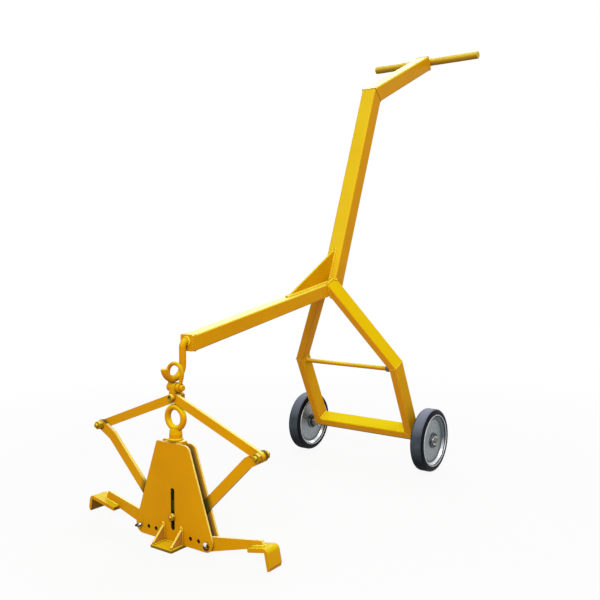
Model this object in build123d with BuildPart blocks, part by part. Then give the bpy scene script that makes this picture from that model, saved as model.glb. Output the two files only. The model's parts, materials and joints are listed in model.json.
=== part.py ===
from build123d import *
from math import acos, asin, atan2, cos, degrees, hypot, radians, sin, tan
import os

# Trench cover lifting trolley, in millimetres
# Frame: +Z up, +X to the right-hand wheel, -Y forward along the arm
# Origin: on the floor, in the middle of the overall width and depth

# Wheels
wheel_radius = 100.0
tyre_width = 45.0
tyre_height = 18.0
tyre_shoulder = 9.0
rim_flange = 9.0
rim_sheet = 3.0
rim_lip_setback = 3.0
rim_web_x = 6.0
rim_crown_x = 13.0
hub_wall = 3.5
hub_length = 36.0
hub_step = 4.0
wheel_gap = 23.5
bearing_radius = 21.0
bearing_width = 12.0
bearing_groove = 0.8
bearing_recess = 1.0
axle_radius = 10.0
axle_end = 3.0
spacer_wall = 4.0
axle_washer_band = 6.0
axle_washer_height = 2.5
axle_ring_band = 4.5
axle_ring_height = 2.0
axle_ring_gap = 7.0

# Leg frame, drawn in a plane that leans forward as it rises
frame_lean = 26.0
leg_width = 25.0
leg_depth = 50.0
leg_wall = 2.5
leg_corner = 4.0
frame_half_width = 190.0
knee_height = 257.0
knee_turn = 30.0
tie_rod_radius = 7.0
tie_rod_drop = 15.0
tie_nut_flats = 18.0
tie_nut_height = 24.0

# Mast, handle stem and handle bar
mast_size = 50.0
mast_wall = 3.0
mast_corner = 5.0
mast_lean = 21.0
mast_foot_setback = 15.4
mast_foot_drop = 23.1
mast_length = 695.0
stem_rise = 24.9
stem_length = 420.0
stem_plate_thickness = 4.0
bar_radius = 13.45
bar_wall = 2.5
bar_half_length = 208.0
bar_cap_thickness = 3.0

# Lifting arm, hook and gusset
arm_size = 40.0
arm_wall = 3.0
arm_corner = 4.0
arm_fall = 9.7
arm_top_along_mast = 32.0
arm_end_ahead = 852.0
arm_block_thickness = 12.0
gusset_thickness = 6.0
gusset_up_mast = 108.0
gusset_along_arm = 214.0
hook_radius = 8.5
hook_above_middle = 4.0
hook_lead = 1.0
hook_elbow = 13.0
hook_bend = 31.0
hook_turn = 174.0
hook_tip_round = 3.0

# Shackle and lifting block
shackle_setback = 5.0
shackle_radius = 4.75
shackle_bow_radius = 23.5
shackle_length = 62.0
shackle_eye_radius = 11.0
shackle_eye_thickness = 9.5
shackle_pin_radius = 6.0
shackle_head_radius = 7.5
shackle_head_height = 8.5
shackle_head_round = 2.5
shackle_tip_radius = 3.5
shackle_tip_length = 8.0
block_rise = 24.0
block_width = 17.0
block_top_radius = 12.4
block_cheek = 4.5

# Tong links, levers and claws, as seen from the front
lever_thickness = 8.0
top_pivot_height = 360.0
outer_pivot_x = 263.6
link_fall = 102.0
link_width = 22.0
lever_width = 26.0
kink_in = 41.6
kink_drop = 22.0
bend_in = 24.0
bend_rise = 74.0
lever_root_radius = 17.5
pivot_radius = 6.0
bolt_flats = 18.0
bolt_head_height = 7.5
bolt_nut_height = 10.0
bolt_tail = 3.0
outer_bolt_tail = 8.0
washer_radius = 12.0
washer_height = 2.5
claw_half_span = 306.0
claw_thickness = 9.0
claw_bend = 12.0
claw_width = 44.0
claw_bevel_height = 8.0
claw_bevel_depth = 4.0
right_claw_rise = 12.0
right_claw_drop = 50.0
right_tail_length = 132.0
right_tail_rise = 24.5
right_root_lift = -2.5
right_tip_reach = 26.0
right_tip_rise = 18.0
right_tip_cut = 8.0
right_notch = 6.0
left_claw_rise = 10.5
left_claw_drop = 42.0
left_tail_length = 98.0
left_tail_rise = 22.3
left_root_lift = 6.5
left_tip_reach = 41.0
left_tip_rise = 31.5
left_tip_cut = 9.0
left_notch = 2.5

# Tong body
plate_thickness = 5.0
plate_top_half = 52.5
plate_foot_half = 137.2
plate_left_corner = 8.0
plate_right_corner = 18.0
plate_bottom_corner = 22.0
head_block_half = 29.0
head_block_depth = 30.0
head_block_proud = 6.0
eye_ring_radius = 26.25
eye_bar_radius = 7.75
eye_flange_radius = 18.5
eye_flange_height = 3.0
eye_flange_slope = 2.0
eye_collar_radius = 16.0
eye_neck_radius = 14.0
eye_collar_height = 14.75
eye_neck_height = 13.0
foot_thickness = 6.0
foot_width = 72.0
foot_length = 111.0
foot_corner = 4.0
foot_gusset_thickness = 6.0
foot_gusset_inset = 6.0
foot_gusset_top = 47.0
foot_gusset_end = 5.0
pin_radius = 5.0
pin_inset = 27.2
pin_height = 28.0
pin_pitch = 26.0
pin_spares = 2
pin_front = 8.0
pin_head_radius = 8.0
pin_head_height = 4.0
ring_radius = 7.0
ring_wire_radius = 1.7
ring_setback = 4.5
slot_bottom = 36.0
slot_top = 140.0
slot_play = 2.5
stop_height = 69.0
stop_radius = 5.0
stop_sleeve_radius = 8.0
stop_flats = 15.0
stop_head_height = 6.4
stop_nut_height = 8.0
stop_washer_radius = 9.0
stop_washer_height = 2.0

# Clearances
run_clear = 0.05
side_clear = 0.3
layer_clear = 0.2
slot_clear_x = 4.0
slot_clear_z = 1.0
fork_clear = 1.0
block_side_clear = 0.75
hook_clear = 0.6
eye_gap = 5.0
lever_rest_clear = 0.7
edge_break = 1.0

# Wheel sizes that follow from these
rim_radius = wheel_radius - tyre_height
rim_well = rim_radius - rim_flange
rim_lip_x = tyre_width / 2 - rim_lip_setback
hub_radius = bearing_radius + hub_wall
hub_shoulder = bearing_radius - hub_step
wheel_x = frame_half_width + wheel_gap + tyre_width / 2
spacer_radius = axle_radius + spacer_wall
axle_washer_radius = axle_radius + axle_washer_band
axle_ring_radius = axle_radius + axle_ring_band

# Heights of the tong, from the top pivot up to the hook and down to the plates
outer_pivot_height = top_pivot_height - link_fall
shackle_pin_height = top_pivot_height + block_rise
shackle_spread = block_width + 2 * block_side_clear + shackle_eye_thickness
shackle_top = shackle_pin_height + shackle_length
hook_saddle_height = shackle_pin_height + block_top_radius + hook_clear + hook_radius
eye_height = top_pivot_height - link_width / 2 - eye_gap - eye_bar_radius - eye_ring_radius
head_block_top = eye_height - eye_ring_radius - eye_neck_height - eye_collar_height
head_block_bottom = head_block_top - head_block_depth
plate_top = head_block_top - head_block_proud

# Places in the tong, outward from its middle
pin_x = plate_foot_half - pin_inset
foot_gusset_x = foot_width / 2 - foot_gusset_inset
slot_width = 2 * stop_radius + slot_play

# Crest of the levers, on the line from the pin that just passes over the stop
stop_rise = stop_height - pin_height
rest_distance = stop_sleeve_radius + lever_rest_clear + lever_width / 2
crest_slope = atan2(stop_rise, pin_x) + asin(rest_distance / hypot(pin_x, stop_rise))
lever_crest_height = pin_height + pin_x * tan(crest_slope)


def lean(angle, forward=0.0, up=1.0):
    """A direction in the YZ plane, tipped back from (forward, up) by an angle."""
    turn = radians(angle)
    return (0, sin(turn) * up - cos(turn) * forward, cos(turn) * up + sin(turn) * forward)


def step(point, direction, distance):
    """The point that lies a distance from another in a direction."""
    return tuple(p + d * distance for p, d in zip(point, direction))


# Heights in the leg frame, measured up its plane from the axle
cross_height = axle_radius + leg_width / 2
leg_x = frame_half_width - leg_width / 2
cope_x = arm_size / 2


def corner_point(offset):
    """A bottom corner of the frame, at an offset outside its centre line."""
    return (leg_x + offset, cross_height - offset)


def knee_point(offset):
    """A knee of the frame, at an offset outside its centre line."""
    return (leg_x + offset, cross_height + knee_height + offset * tan(radians(knee_turn / 2)))


def top_point(offset):
    """The upper end of a leg, where it meets the side of the arm."""
    x, s = knee_point(offset)
    return (cope_x, s + (x - cope_x) / tan(radians(knee_turn)))


def tube_outline(start, end, half):
    """The four corners of a leg tube between two mitres, as wide as twice half."""
    return [start(half), end(half), end(-half), start(-half)]


# Foot of the mast, a little behind and below the place where the legs meet
apex = top_point(0)[1]
mast_foot_ahead = apex * sin(radians(frame_lean)) - mast_foot_setback
mast_foot_height = wheel_radius + apex * cos(radians(frame_lean)) - mast_foot_drop

# Reaches from the axle, which put the origin in the middle of the depth
tong_ahead = arm_end_ahead + arm_block_thickness + hook_lead + hook_elbow + hook_bend - shackle_setback
mast_up = lean(mast_lean)
mast_front = lean(mast_lean, 1, 0)
stem_out = (0, cos(radians(stem_rise)), sin(radians(stem_rise)))
bar_out = stem_length + stem_plate_thickness + bar_radius
rear_reach = mast_up[1] * mast_length - mast_foot_ahead + stem_out[1] * bar_out + bar_radius
front_reach = tong_ahead + foot_length / 2
axle_y = (front_reach - rear_reach) / 2
tong_y = axle_y - tong_ahead

# Planes and points of the trolley
frame_plane = Plane((0, axle_y, wheel_radius), x_dir=(1, 0, 0), z_dir=lean(-frame_lean, 1, 0))
mast_foot = (0, axle_y - mast_foot_ahead, mast_foot_height)
mast_head = step(mast_foot, mast_up, mast_length)
mast_plane = Plane(mast_foot, x_dir=(1, 0, 0), z_dir=mast_up)
stem_plane = Plane(mast_head, x_dir=(1, 0, 0), z_dir=stem_out)
mitre_plane = Plane(mast_head, x_dir=(1, 0, 0), z_dir=tuple(m + s for m, s in zip(mast_up, stem_out)))
mast_face = step(mast_foot, mast_front, mast_size / 2)
mast_face_plane = Plane(mast_face, x_dir=(1, 0, 0), z_dir=mast_front)
arm_root = step(mast_face, mast_up, arm_top_along_mast)
arm_out = (0, -cos(radians(arm_fall)), -sin(radians(arm_fall)))
arm_down = (0, sin(radians(arm_fall)), -cos(radians(arm_fall)))
arm_start = step(arm_root, arm_down, arm_size / 2)
arm_end_y = axle_y - arm_end_ahead
arm_length = (arm_root[1] - arm_end_y) / -arm_out[1]
arm_tip = step(arm_root, arm_out, arm_length)
arm_cut_height = arm_size / cos(radians(arm_fall))
arm_end_middle = arm_tip[2] - arm_cut_height / 2
hook_face_y = arm_end_y - arm_block_thickness
hook_top_height = arm_end_middle + hook_above_middle


def layer(v):
    """A plane square to Y, a distance behind the middle of the tong, drawn as seen from the front."""
    return Plane.XZ.offset(-(tong_y + v))


def bar_between(start, end, width):
    """A flat bar with round ends between two points of the current sketch."""
    run = (end[0] - start[0], end[1] - start[1])
    with Locations(((start[0] + end[0]) / 2, (start[1] + end[1]) / 2)):
        SlotCenterToCenter(hypot(*run), width, rotation=degrees(atan2(run[1], run[0])))


def save(name, piece):
    """Label a finished piece and write its file."""
    piece.label = name
    export_step(piece, f"parts/{name}.step")


os.makedirs("parts", exist_ok=True)

# Mast: square tube, cut square at the foot and mitred to the stem
with BuildPart() as mast:
    with BuildSketch(mast_plane):
        RectangleRounded(mast_size, mast_size, mast_corner)
        RectangleRounded(mast_size - 2 * mast_wall, mast_size - 2 * mast_wall, mast_corner - mast_wall,
                         mode=Mode.SUBTRACT)
    extrude(amount=mast_length + mast_size)
    split(bisect_by=mitre_plane, keep=Keep.BOTTOM)
save("mast", mast.part)

# Handle stem: the same tube, from the mitre back to the handle bar
with BuildPart() as handle_stem:
    with BuildSketch(stem_plane.offset(-mast_size)):
        RectangleRounded(mast_size, mast_size, mast_corner)
        RectangleRounded(mast_size - 2 * mast_wall, mast_size - 2 * mast_wall, mast_corner - mast_wall,
                         mode=Mode.SUBTRACT)
    extrude(amount=mast_size + stem_length)
    split(bisect_by=mitre_plane, keep=Keep.TOP)
save("handle_stem", handle_stem.part)

# Plate that closes the stem and carries the bar
with BuildPart() as stem_end_plate:
    with BuildSketch(stem_plane.offset(stem_length)):
        RectangleRounded(mast_size, mast_size, mast_corner)
    extrude(amount=stem_plate_thickness)
save("stem_end_plate", stem_end_plate.part)

# Handle bar: round tube across the end of the stem
bar_centre = step(mast_head, stem_out, bar_out)
bar_plane = Plane(bar_centre, x_dir=(0, 1, 0), z_dir=(1, 0, 0))
bar_tube_half = bar_half_length - bar_cap_thickness
with BuildPart() as handle_bar:
    with BuildSketch(bar_plane):
        Circle(bar_radius)
        Circle(bar_radius - bar_wall, mode=Mode.SUBTRACT)
    extrude(amount=bar_tube_half, both=True)
save("handle_bar", handle_bar.part)

with BuildPart() as handle_bar_caps:
    with BuildSketch(bar_plane.offset(bar_tube_half)):
        Circle(bar_radius)
    extrude(amount=bar_cap_thickness)
    fillet(handle_bar_caps.edges().group_by(Axis.X)[-1], bar_cap_thickness / 2)
    mirror(about=Plane.YZ)
save("handle_bar_caps", handle_bar_caps.part)

# Lifting arm: square tube, butted on the front of the mast and cut upright at its front end
with BuildPart() as lifting_arm:
    with BuildSketch(Plane(arm_start, x_dir=(1, 0, 0), z_dir=arm_out).offset(-mast_size)):
        RectangleRounded(arm_size, arm_size, arm_corner)
        RectangleRounded(arm_size - 2 * arm_wall, arm_size - 2 * arm_wall, arm_corner - arm_wall,
                         mode=Mode.SUBTRACT)
    extrude(amount=arm_length + 2 * mast_size)
    split(bisect_by=mast_face_plane, keep=Keep.TOP)
    split(bisect_by=Plane((0, arm_end_y, 0), z_dir=(0, -1, 0)), keep=Keep.BOTTOM)
save("lifting_arm", lifting_arm.part)

# Solid block that closes the arm and carries the hook
with BuildPart() as arm_end_block:
    with BuildSketch(Plane.XZ.offset(-arm_end_y)):
        with Locations((0, arm_end_middle)):
            RectangleRounded(arm_size, arm_cut_height, arm_corner)
    extrude(amount=arm_block_thickness)
save("arm_end_block", arm_end_block.part)

# Hook: round bar out of the block, down and forward into an open bend
hook_start = (hook_face_y, hook_top_height)
hook_shank_y = hook_face_y - hook_lead - hook_elbow
hook_bend_height = hook_saddle_height + hook_bend
with BuildPart() as hook:
    with BuildLine(Plane.YZ):
        lead = Line(hook_start, (hook_face_y - hook_lead, hook_top_height))
        elbow = JernArc(lead @ 1, (-1, 0), hook_elbow, 90)
        shank = Line(elbow @ 1, (hook_shank_y, hook_bend_height))
        JernArc(shank @ 1, (0, -1), hook_bend, -hook_turn)
    with BuildSketch(Plane.XZ.offset(-hook_face_y)):
        with Locations((0, hook_top_height)):
            Circle(hook_radius)
    sweep()
    fillet(hook.edges().filter_by(GeomType.CIRCLE).sort_by(Axis.Y)[0], hook_tip_round)
save("hook", hook.part)

# Gusset: flat plate on edge between the mast and the top of the arm
with BuildPart() as gusset:
    with BuildSketch(Plane.YZ):
        with BuildLine():
            gusset_top = step(arm_root, mast_up, gusset_up_mast)
            gusset_tip = step(arm_root, arm_out, gusset_along_arm)
            Polyline(arm_root[1:], gusset_top[1:], gusset_tip[1:], close=True)
        make_face()
    extrude(amount=gusset_thickness / 2, both=True)
save("gusset", gusset.part)

# Upper leg: tube on edge from the knee up to the arm, coped round the mast
upper_run = (top_point(0)[0] - knee_point(0)[0], top_point(0)[1] - knee_point(0)[1])
upper_dir = frame_plane.x_dir * upper_run[0] + frame_plane.y_dir * upper_run[1]
with BuildPart() as upper_leg_right:
    with BuildSketch(frame_plane):
        Polygon(*tube_outline(knee_point, top_point, leg_width / 2), align=None)
    extrude(amount=leg_depth / 2, both=True)
    fillet(upper_leg_right.edges().filter_by(Axis((0, 0, 0), upper_dir)), leg_corner)
    with BuildSketch(frame_plane):
        Polygon(*tube_outline(knee_point, top_point, leg_width / 2 - leg_wall), align=None)
    extrude(amount=leg_depth / 2 - leg_wall, both=True, mode=Mode.SUBTRACT)
    with BuildSketch(mast_plane):
        RectangleRounded(mast_size, mast_size, mast_corner)
    extrude(amount=mast_length / 2, mode=Mode.SUBTRACT)
save("upper_leg_right", upper_leg_right.part)

with BuildPart() as upper_leg_left:
    mirror(upper_leg_right.part, about=Plane.YZ)
save("upper_leg_left", upper_leg_left.part)

# Lower leg: from the cross member up to the knee, mitred at both ends
with BuildPart() as lower_leg_right:
    with BuildSketch(frame_plane):
        Polygon(*tube_outline(corner_point, knee_point, leg_width / 2), align=None)
    extrude(amount=leg_depth / 2, both=True)
    fillet(lower_leg_right.edges().filter_by(Axis((0, 0, 0), frame_plane.y_dir)), leg_corner)
    with BuildSketch(frame_plane):
        Polygon(*tube_outline(corner_point, knee_point, leg_width / 2 - leg_wall), align=None)
    extrude(amount=leg_depth / 2 - leg_wall, both=True, mode=Mode.SUBTRACT)
save("lower_leg_right", lower_leg_right.part)

with BuildPart() as lower_leg_left:
    mirror(lower_leg_right.part, about=Plane.YZ)
save("lower_leg_left", lower_leg_left.part)


def left_corner_point(offset):
    """The left-hand bottom corner of the frame."""
    x, s = corner_point(offset)
    return (-x, s)


# Cross member between the feet of the legs
with BuildPart() as cross_member:
    with BuildSketch(frame_plane):
        Polygon(*tube_outline(corner_point, left_corner_point, leg_width / 2), align=None)
    extrude(amount=leg_depth / 2, both=True)
    fillet(cross_member.edges().filter_by(Axis.X), leg_corner)
    with BuildSketch(frame_plane):
        Polygon(*tube_outline(corner_point, left_corner_point, leg_width / 2 - leg_wall), align=None)
    extrude(amount=leg_depth / 2 - leg_wall, both=True, mode=Mode.SUBTRACT)
save("cross_member", cross_member.part)

# Tie rod under the knees, with a hexagon nut at its right-hand end
tie_centre = frame_plane.from_local_coords((0, cross_height + knee_height - tie_rod_drop, 0))
tie_plane = Plane(tie_centre, x_dir=(0, 1, 0), z_dir=(1, 0, 0))
tie_half = frame_half_width - leg_width
with BuildPart() as tie_rod:
    with BuildSketch(tie_plane):
        Circle(tie_rod_radius)
    extrude(amount=tie_half, both=True)
save("tie_rod", tie_rod.part)

with BuildPart() as tie_rod_nut:
    with BuildSketch(tie_plane.offset(tie_half - tie_nut_height)):
        RegularPolygon(tie_nut_flats / 2, 6, major_radius=False)
        Circle(tie_rod_radius, mode=Mode.SUBTRACT)
    extrude(amount=tie_nut_height)
save("tie_rod_nut", tie_rod_nut.part)

# Axle: round bar welded along the underside of the cross member
axle_plane = Plane((0, axle_y, wheel_radius), x_dir=(0, 1, 0), z_dir=(1, 0, 0))
inner_bearing_x = wheel_x - hub_length / 2 + bearing_recess
outer_bearing_x = wheel_x + hub_length / 2 - bearing_recess
washer_x = outer_bearing_x + side_clear
ring_x = washer_x + axle_washer_height
with BuildPart() as axle:
    with BuildSketch(axle_plane):
        Circle(axle_radius)
    extrude(amount=ring_x + axle_ring_height + axle_end, both=True)
    chamfer(axle.edges().filter_by(GeomType.CIRCLE), axle_end / 2)
save("axle", axle.part)

with BuildPart() as wheel_spacers:
    with BuildSketch(axle_plane.offset(frame_half_width)):
        Circle(spacer_radius)
        Circle(axle_radius, mode=Mode.SUBTRACT)
    extrude(amount=inner_bearing_x - side_clear - frame_half_width)
    mirror(about=Plane.YZ)
save("wheel_spacers", wheel_spacers.part)

with BuildPart() as axle_washers:
    with BuildSketch(axle_plane.offset(washer_x)):
        Circle(axle_washer_radius)
        Circle(axle_radius, mode=Mode.SUBTRACT)
    extrude(amount=axle_washer_height)
    mirror(about=Plane.YZ)
save("axle_washers", axle_washers.part)

# Retaining rings, open on one side, that hold the wheels on the axle
with BuildPart() as axle_rings:
    with BuildSketch(axle_plane.offset(ring_x)):
        Circle(axle_ring_radius)
        Circle(axle_radius, mode=Mode.SUBTRACT)
        with Locations((axle_ring_radius, 0)):
            Rectangle(axle_ring_radius, axle_ring_gap, mode=Mode.SUBTRACT)
    extrude(amount=axle_ring_height)
    mirror(about=Plane.YZ)
save("axle_rings", axle_rings.part)

# Wheel sections: distance from the mid-plane across, radius up, turned about the axle
half_width = tyre_width / 2
lip_inner_x = rim_lip_x - rim_sheet
well_top = rim_well + rim_sheet

for side, side_x in (("left", -wheel_x), ("right", wheel_x)):
    section_plane = Plane((side_x, axle_y, wheel_radius), x_dir=(1, 0, 0), z_dir=(0, -1, 0))
    wheel_axis = Axis((0, axle_y, wheel_radius), (1, 0, 0))

    # Solid rubber tyre with round shoulders, its bead held between the rim lips
    with BuildPart() as tyre:
        with BuildSketch(section_plane):
            with BuildLine():
                Polyline((-half_width, rim_radius), (-half_width, wheel_radius), (half_width, wheel_radius),
                         (half_width, rim_radius), (lip_inner_x, rim_radius), (lip_inner_x, well_top),
                         (-lip_inner_x, well_top), (-lip_inner_x, rim_radius), close=True)
            tread = make_face()
            fillet(tread.vertices().group_by(Axis.Y)[-1], tyre_shoulder)
        revolve(axis=wheel_axis)
    save(f"tyre_{side}", tyre.part)

    # Rim: two pressed shells, each a web that rises to the hub, a well under the tyre and a lip beside it
    with BuildPart() as rim:
        with BuildSketch(section_plane):
            with BuildLine():
                Polyline((rim_crown_x - rim_sheet, hub_radius), (rim_crown_x, hub_radius),
                         (rim_web_x, rim_well), (rim_lip_x, rim_well), (rim_lip_x, rim_radius),
                         (lip_inner_x, rim_radius),
                         (lip_inner_x, well_top), (rim_web_x - rim_sheet, well_top), close=True)
            make_face()
        revolve(axis=wheel_axis)
        mirror(about=Plane.YZ.offset(side_x))
    save(f"rim_{side}", rim.part)

    # Hub tube with a seat for a bearing at each end
    seat_x = hub_length / 2 - bearing_recess - bearing_width
    with BuildPart() as hub:
        with BuildSketch(section_plane):
            with BuildLine():
                Polyline((-hub_length / 2, hub_radius), (hub_length / 2, hub_radius),
                         (hub_length / 2, bearing_radius), (seat_x, bearing_radius), (seat_x, hub_shoulder),
                         (-seat_x, hub_shoulder), (-seat_x, bearing_radius),
                         (-hub_length / 2, bearing_radius), close=True)
            make_face()
        revolve(axis=wheel_axis)
        chamfer(hub.edges().filter_by(GeomType.CIRCLE).group_by(SortBy.RADIUS)[-1], bearing_recess)
    save(f"hub_{side}", hub.part)

    # Ball bearings, with a shallow seal groove in the outer face
    groove_low = (axle_radius * 2 + bearing_radius) / 3
    groove_high = (axle_radius + bearing_radius * 2) / 3
    with BuildPart() as bearings:
        with BuildSketch(section_plane):
            with BuildLine():
                bearing_out = seat_x + bearing_width
                bore = axle_radius + run_clear
                groove_x = bearing_out - bearing_groove
                Polyline((seat_x, bore), (bearing_out, bore), (bearing_out, groove_low),
                         (groove_x, groove_low), (groove_x, groove_high), (bearing_out, groove_high),
                         (bearing_out, bearing_radius), (seat_x, bearing_radius), close=True)
            make_face()
        revolve(axis=wheel_axis)
        mirror(about=Plane.YZ.offset(side_x))
    save(f"bearings_{side}", bearings.part)

# Shackle bow: round bar with an eye at each foot, its pin across under the hook
shackle_half = shackle_spread / 2
eye_face = shackle_half + shackle_eye_thickness / 2
bow_height = shackle_top - shackle_radius - shackle_bow_radius
eye_drop = bow_height - shackle_pin_height
eye_distance = hypot(shackle_half, eye_drop)
bow_start = degrees(acos(shackle_bow_radius / eye_distance) - atan2(eye_drop, shackle_half))
pin_plane = Plane((0, tong_y, shackle_pin_height), x_dir=(0, 1, 0), z_dir=(1, 0, 0))
with BuildPart() as shackle_bow:
    with BuildLine(layer(0)):
        bow = CenterArc((0, bow_height), shackle_bow_radius, bow_start, 180 - 2 * bow_start)
        rise = Line((shackle_half, shackle_pin_height), bow @ 0)
        Line(bow @ 1, (-shackle_half, shackle_pin_height))
    with BuildSketch(Plane((shackle_half, tong_y, shackle_pin_height), z_dir=rise % 0)):
        Circle(shackle_radius)
    sweep()
    with BuildSketch(pin_plane.offset(shackle_half - shackle_eye_thickness / 2)):
        Circle(shackle_eye_radius)
    extrude(amount=shackle_eye_thickness)
    with BuildSketch(pin_plane.offset(-shackle_half - shackle_eye_thickness / 2)):
        Circle(shackle_eye_radius)
    extrude(amount=shackle_eye_thickness)
    with BuildSketch(pin_plane):
        Circle(shackle_pin_radius)
    extrude(amount=2 * shackle_spread, both=True, mode=Mode.SUBTRACT)
    with BuildSketch(pin_plane.offset(eye_face)):
        Circle(shackle_head_radius + run_clear)
    extrude(amount=shackle_head_height, mode=Mode.SUBTRACT)
save("shackle_bow", shackle_bow.part)

# Screw pin: a round head on the right, and a plain tip where the thread comes out on the left
with BuildPart() as shackle_pin:
    with BuildSketch(pin_plane.offset(-eye_face)):
        Circle(shackle_pin_radius)
    extrude(amount=2 * eye_face)
    with BuildSketch(pin_plane.offset(eye_face)):
        Circle(shackle_head_radius)
    extrude(amount=shackle_head_height)
    fillet(shackle_pin.edges().group_by(Axis.X)[-1], shackle_head_round)
    with BuildSketch(pin_plane.offset(-eye_face - shackle_tip_length)):
        Circle(shackle_tip_radius)
    extrude(amount=shackle_tip_length)
save("shackle_pin", shackle_pin.part)

# Tong layers: levers and links lie in two layers beside the middle, between the plates
layer_outer = layer_clear + lever_thickness
plate_inner = layer_outer + side_clear
plate_outer = plate_inner + plate_thickness
cheek_outer = plate_inner + block_cheek
fork_root = top_pivot_height + link_width / 2 + fork_clear
fork_foot = top_pivot_height - block_width / 2

# Lifting block: round head on the shackle pin, and a fork over the links
with BuildPart() as lifting_block:
    with BuildSketch(Plane.YZ):
        with Locations((tong_y, shackle_pin_height)):
            Circle(block_top_radius)
        with BuildLine():
            Polyline((tong_y - cheek_outer, fork_foot), (tong_y - cheek_outer, fork_root + block_cheek),
                     (tong_y - block_top_radius, shackle_pin_height),
                     (tong_y + block_top_radius, shackle_pin_height),
                     (tong_y + cheek_outer, fork_root + block_cheek), (tong_y + cheek_outer, fork_foot),
                     close=True)
        make_face()
        with Locations((tong_y, fork_root)):
            Rectangle(2 * plate_inner, fork_root - fork_foot, align=(Align.CENTER, Align.MAX),
                      mode=Mode.SUBTRACT)
    extrude(amount=block_width / 2, both=True)
    with BuildSketch(layer(cheek_outer)):
        bar_between((0, top_pivot_height), (0, shackle_pin_height + block_width), block_width)
    extrude(amount=2 * cheek_outer, mode=Mode.INTERSECT)
    with BuildSketch(pin_plane):
        Circle(shackle_pin_radius + run_clear)
    extrude(amount=block_width, both=True, mode=Mode.SUBTRACT)
    with BuildSketch(layer(cheek_outer)):
        with Locations((0, top_pivot_height)):
            Circle(pivot_radius)
    extrude(amount=2 * cheek_outer, mode=Mode.SUBTRACT)
save("lifting_block", lifting_block.part)

# Top bolt through the fork and both links
with BuildPart() as top_bolt:
    with BuildSketch(layer(cheek_outer + bolt_nut_height + bolt_tail)):
        with Locations((0, top_pivot_height)):
            Circle(pivot_radius)
    extrude(amount=2 * cheek_outer + bolt_nut_height + bolt_tail)
    with BuildSketch(layer(-cheek_outer)):
        with Locations((0, top_pivot_height)):
            RegularPolygon(bolt_flats / 2, 6, major_radius=False)
    extrude(amount=bolt_head_height)
save("top_bolt", top_bolt.part)

with BuildPart() as top_nut:
    with BuildSketch(layer(cheek_outer + bolt_nut_height)):
        with Locations((0, top_pivot_height)):
            RegularPolygon(bolt_flats / 2, 6, major_radius=False)
            Circle(pivot_radius, mode=Mode.SUBTRACT)
    extrude(amount=bolt_nut_height)
save("top_nut", top_nut.part)

# Each side of the tong: a link, a lever that ends in a claw, and the pivot bolt between link and lever
# The right-hand link and the lever to the right-hand claw lie in the front layer
# The two tails differ a little, as they were bent by hand
left_tail = (left_claw_rise, left_claw_drop, left_tail_length, left_tail_rise)
left_tip = (left_root_lift, left_tip_reach, left_tip_rise, left_tip_cut, left_notch)
right_tail = (right_claw_rise, right_claw_drop, right_tail_length, right_tail_rise)
right_tip = (right_root_lift, right_tip_reach, right_tip_rise, right_tip_cut, right_notch)


def claw_point(start, rise, out, below):
    """A point of a claw's section: out along its top from its start, and square below that."""
    turn = radians(rise)
    return (start[0] + cos(turn) * out + sin(turn) * below, start[1] + sin(turn) * out - cos(turn) * below)


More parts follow.
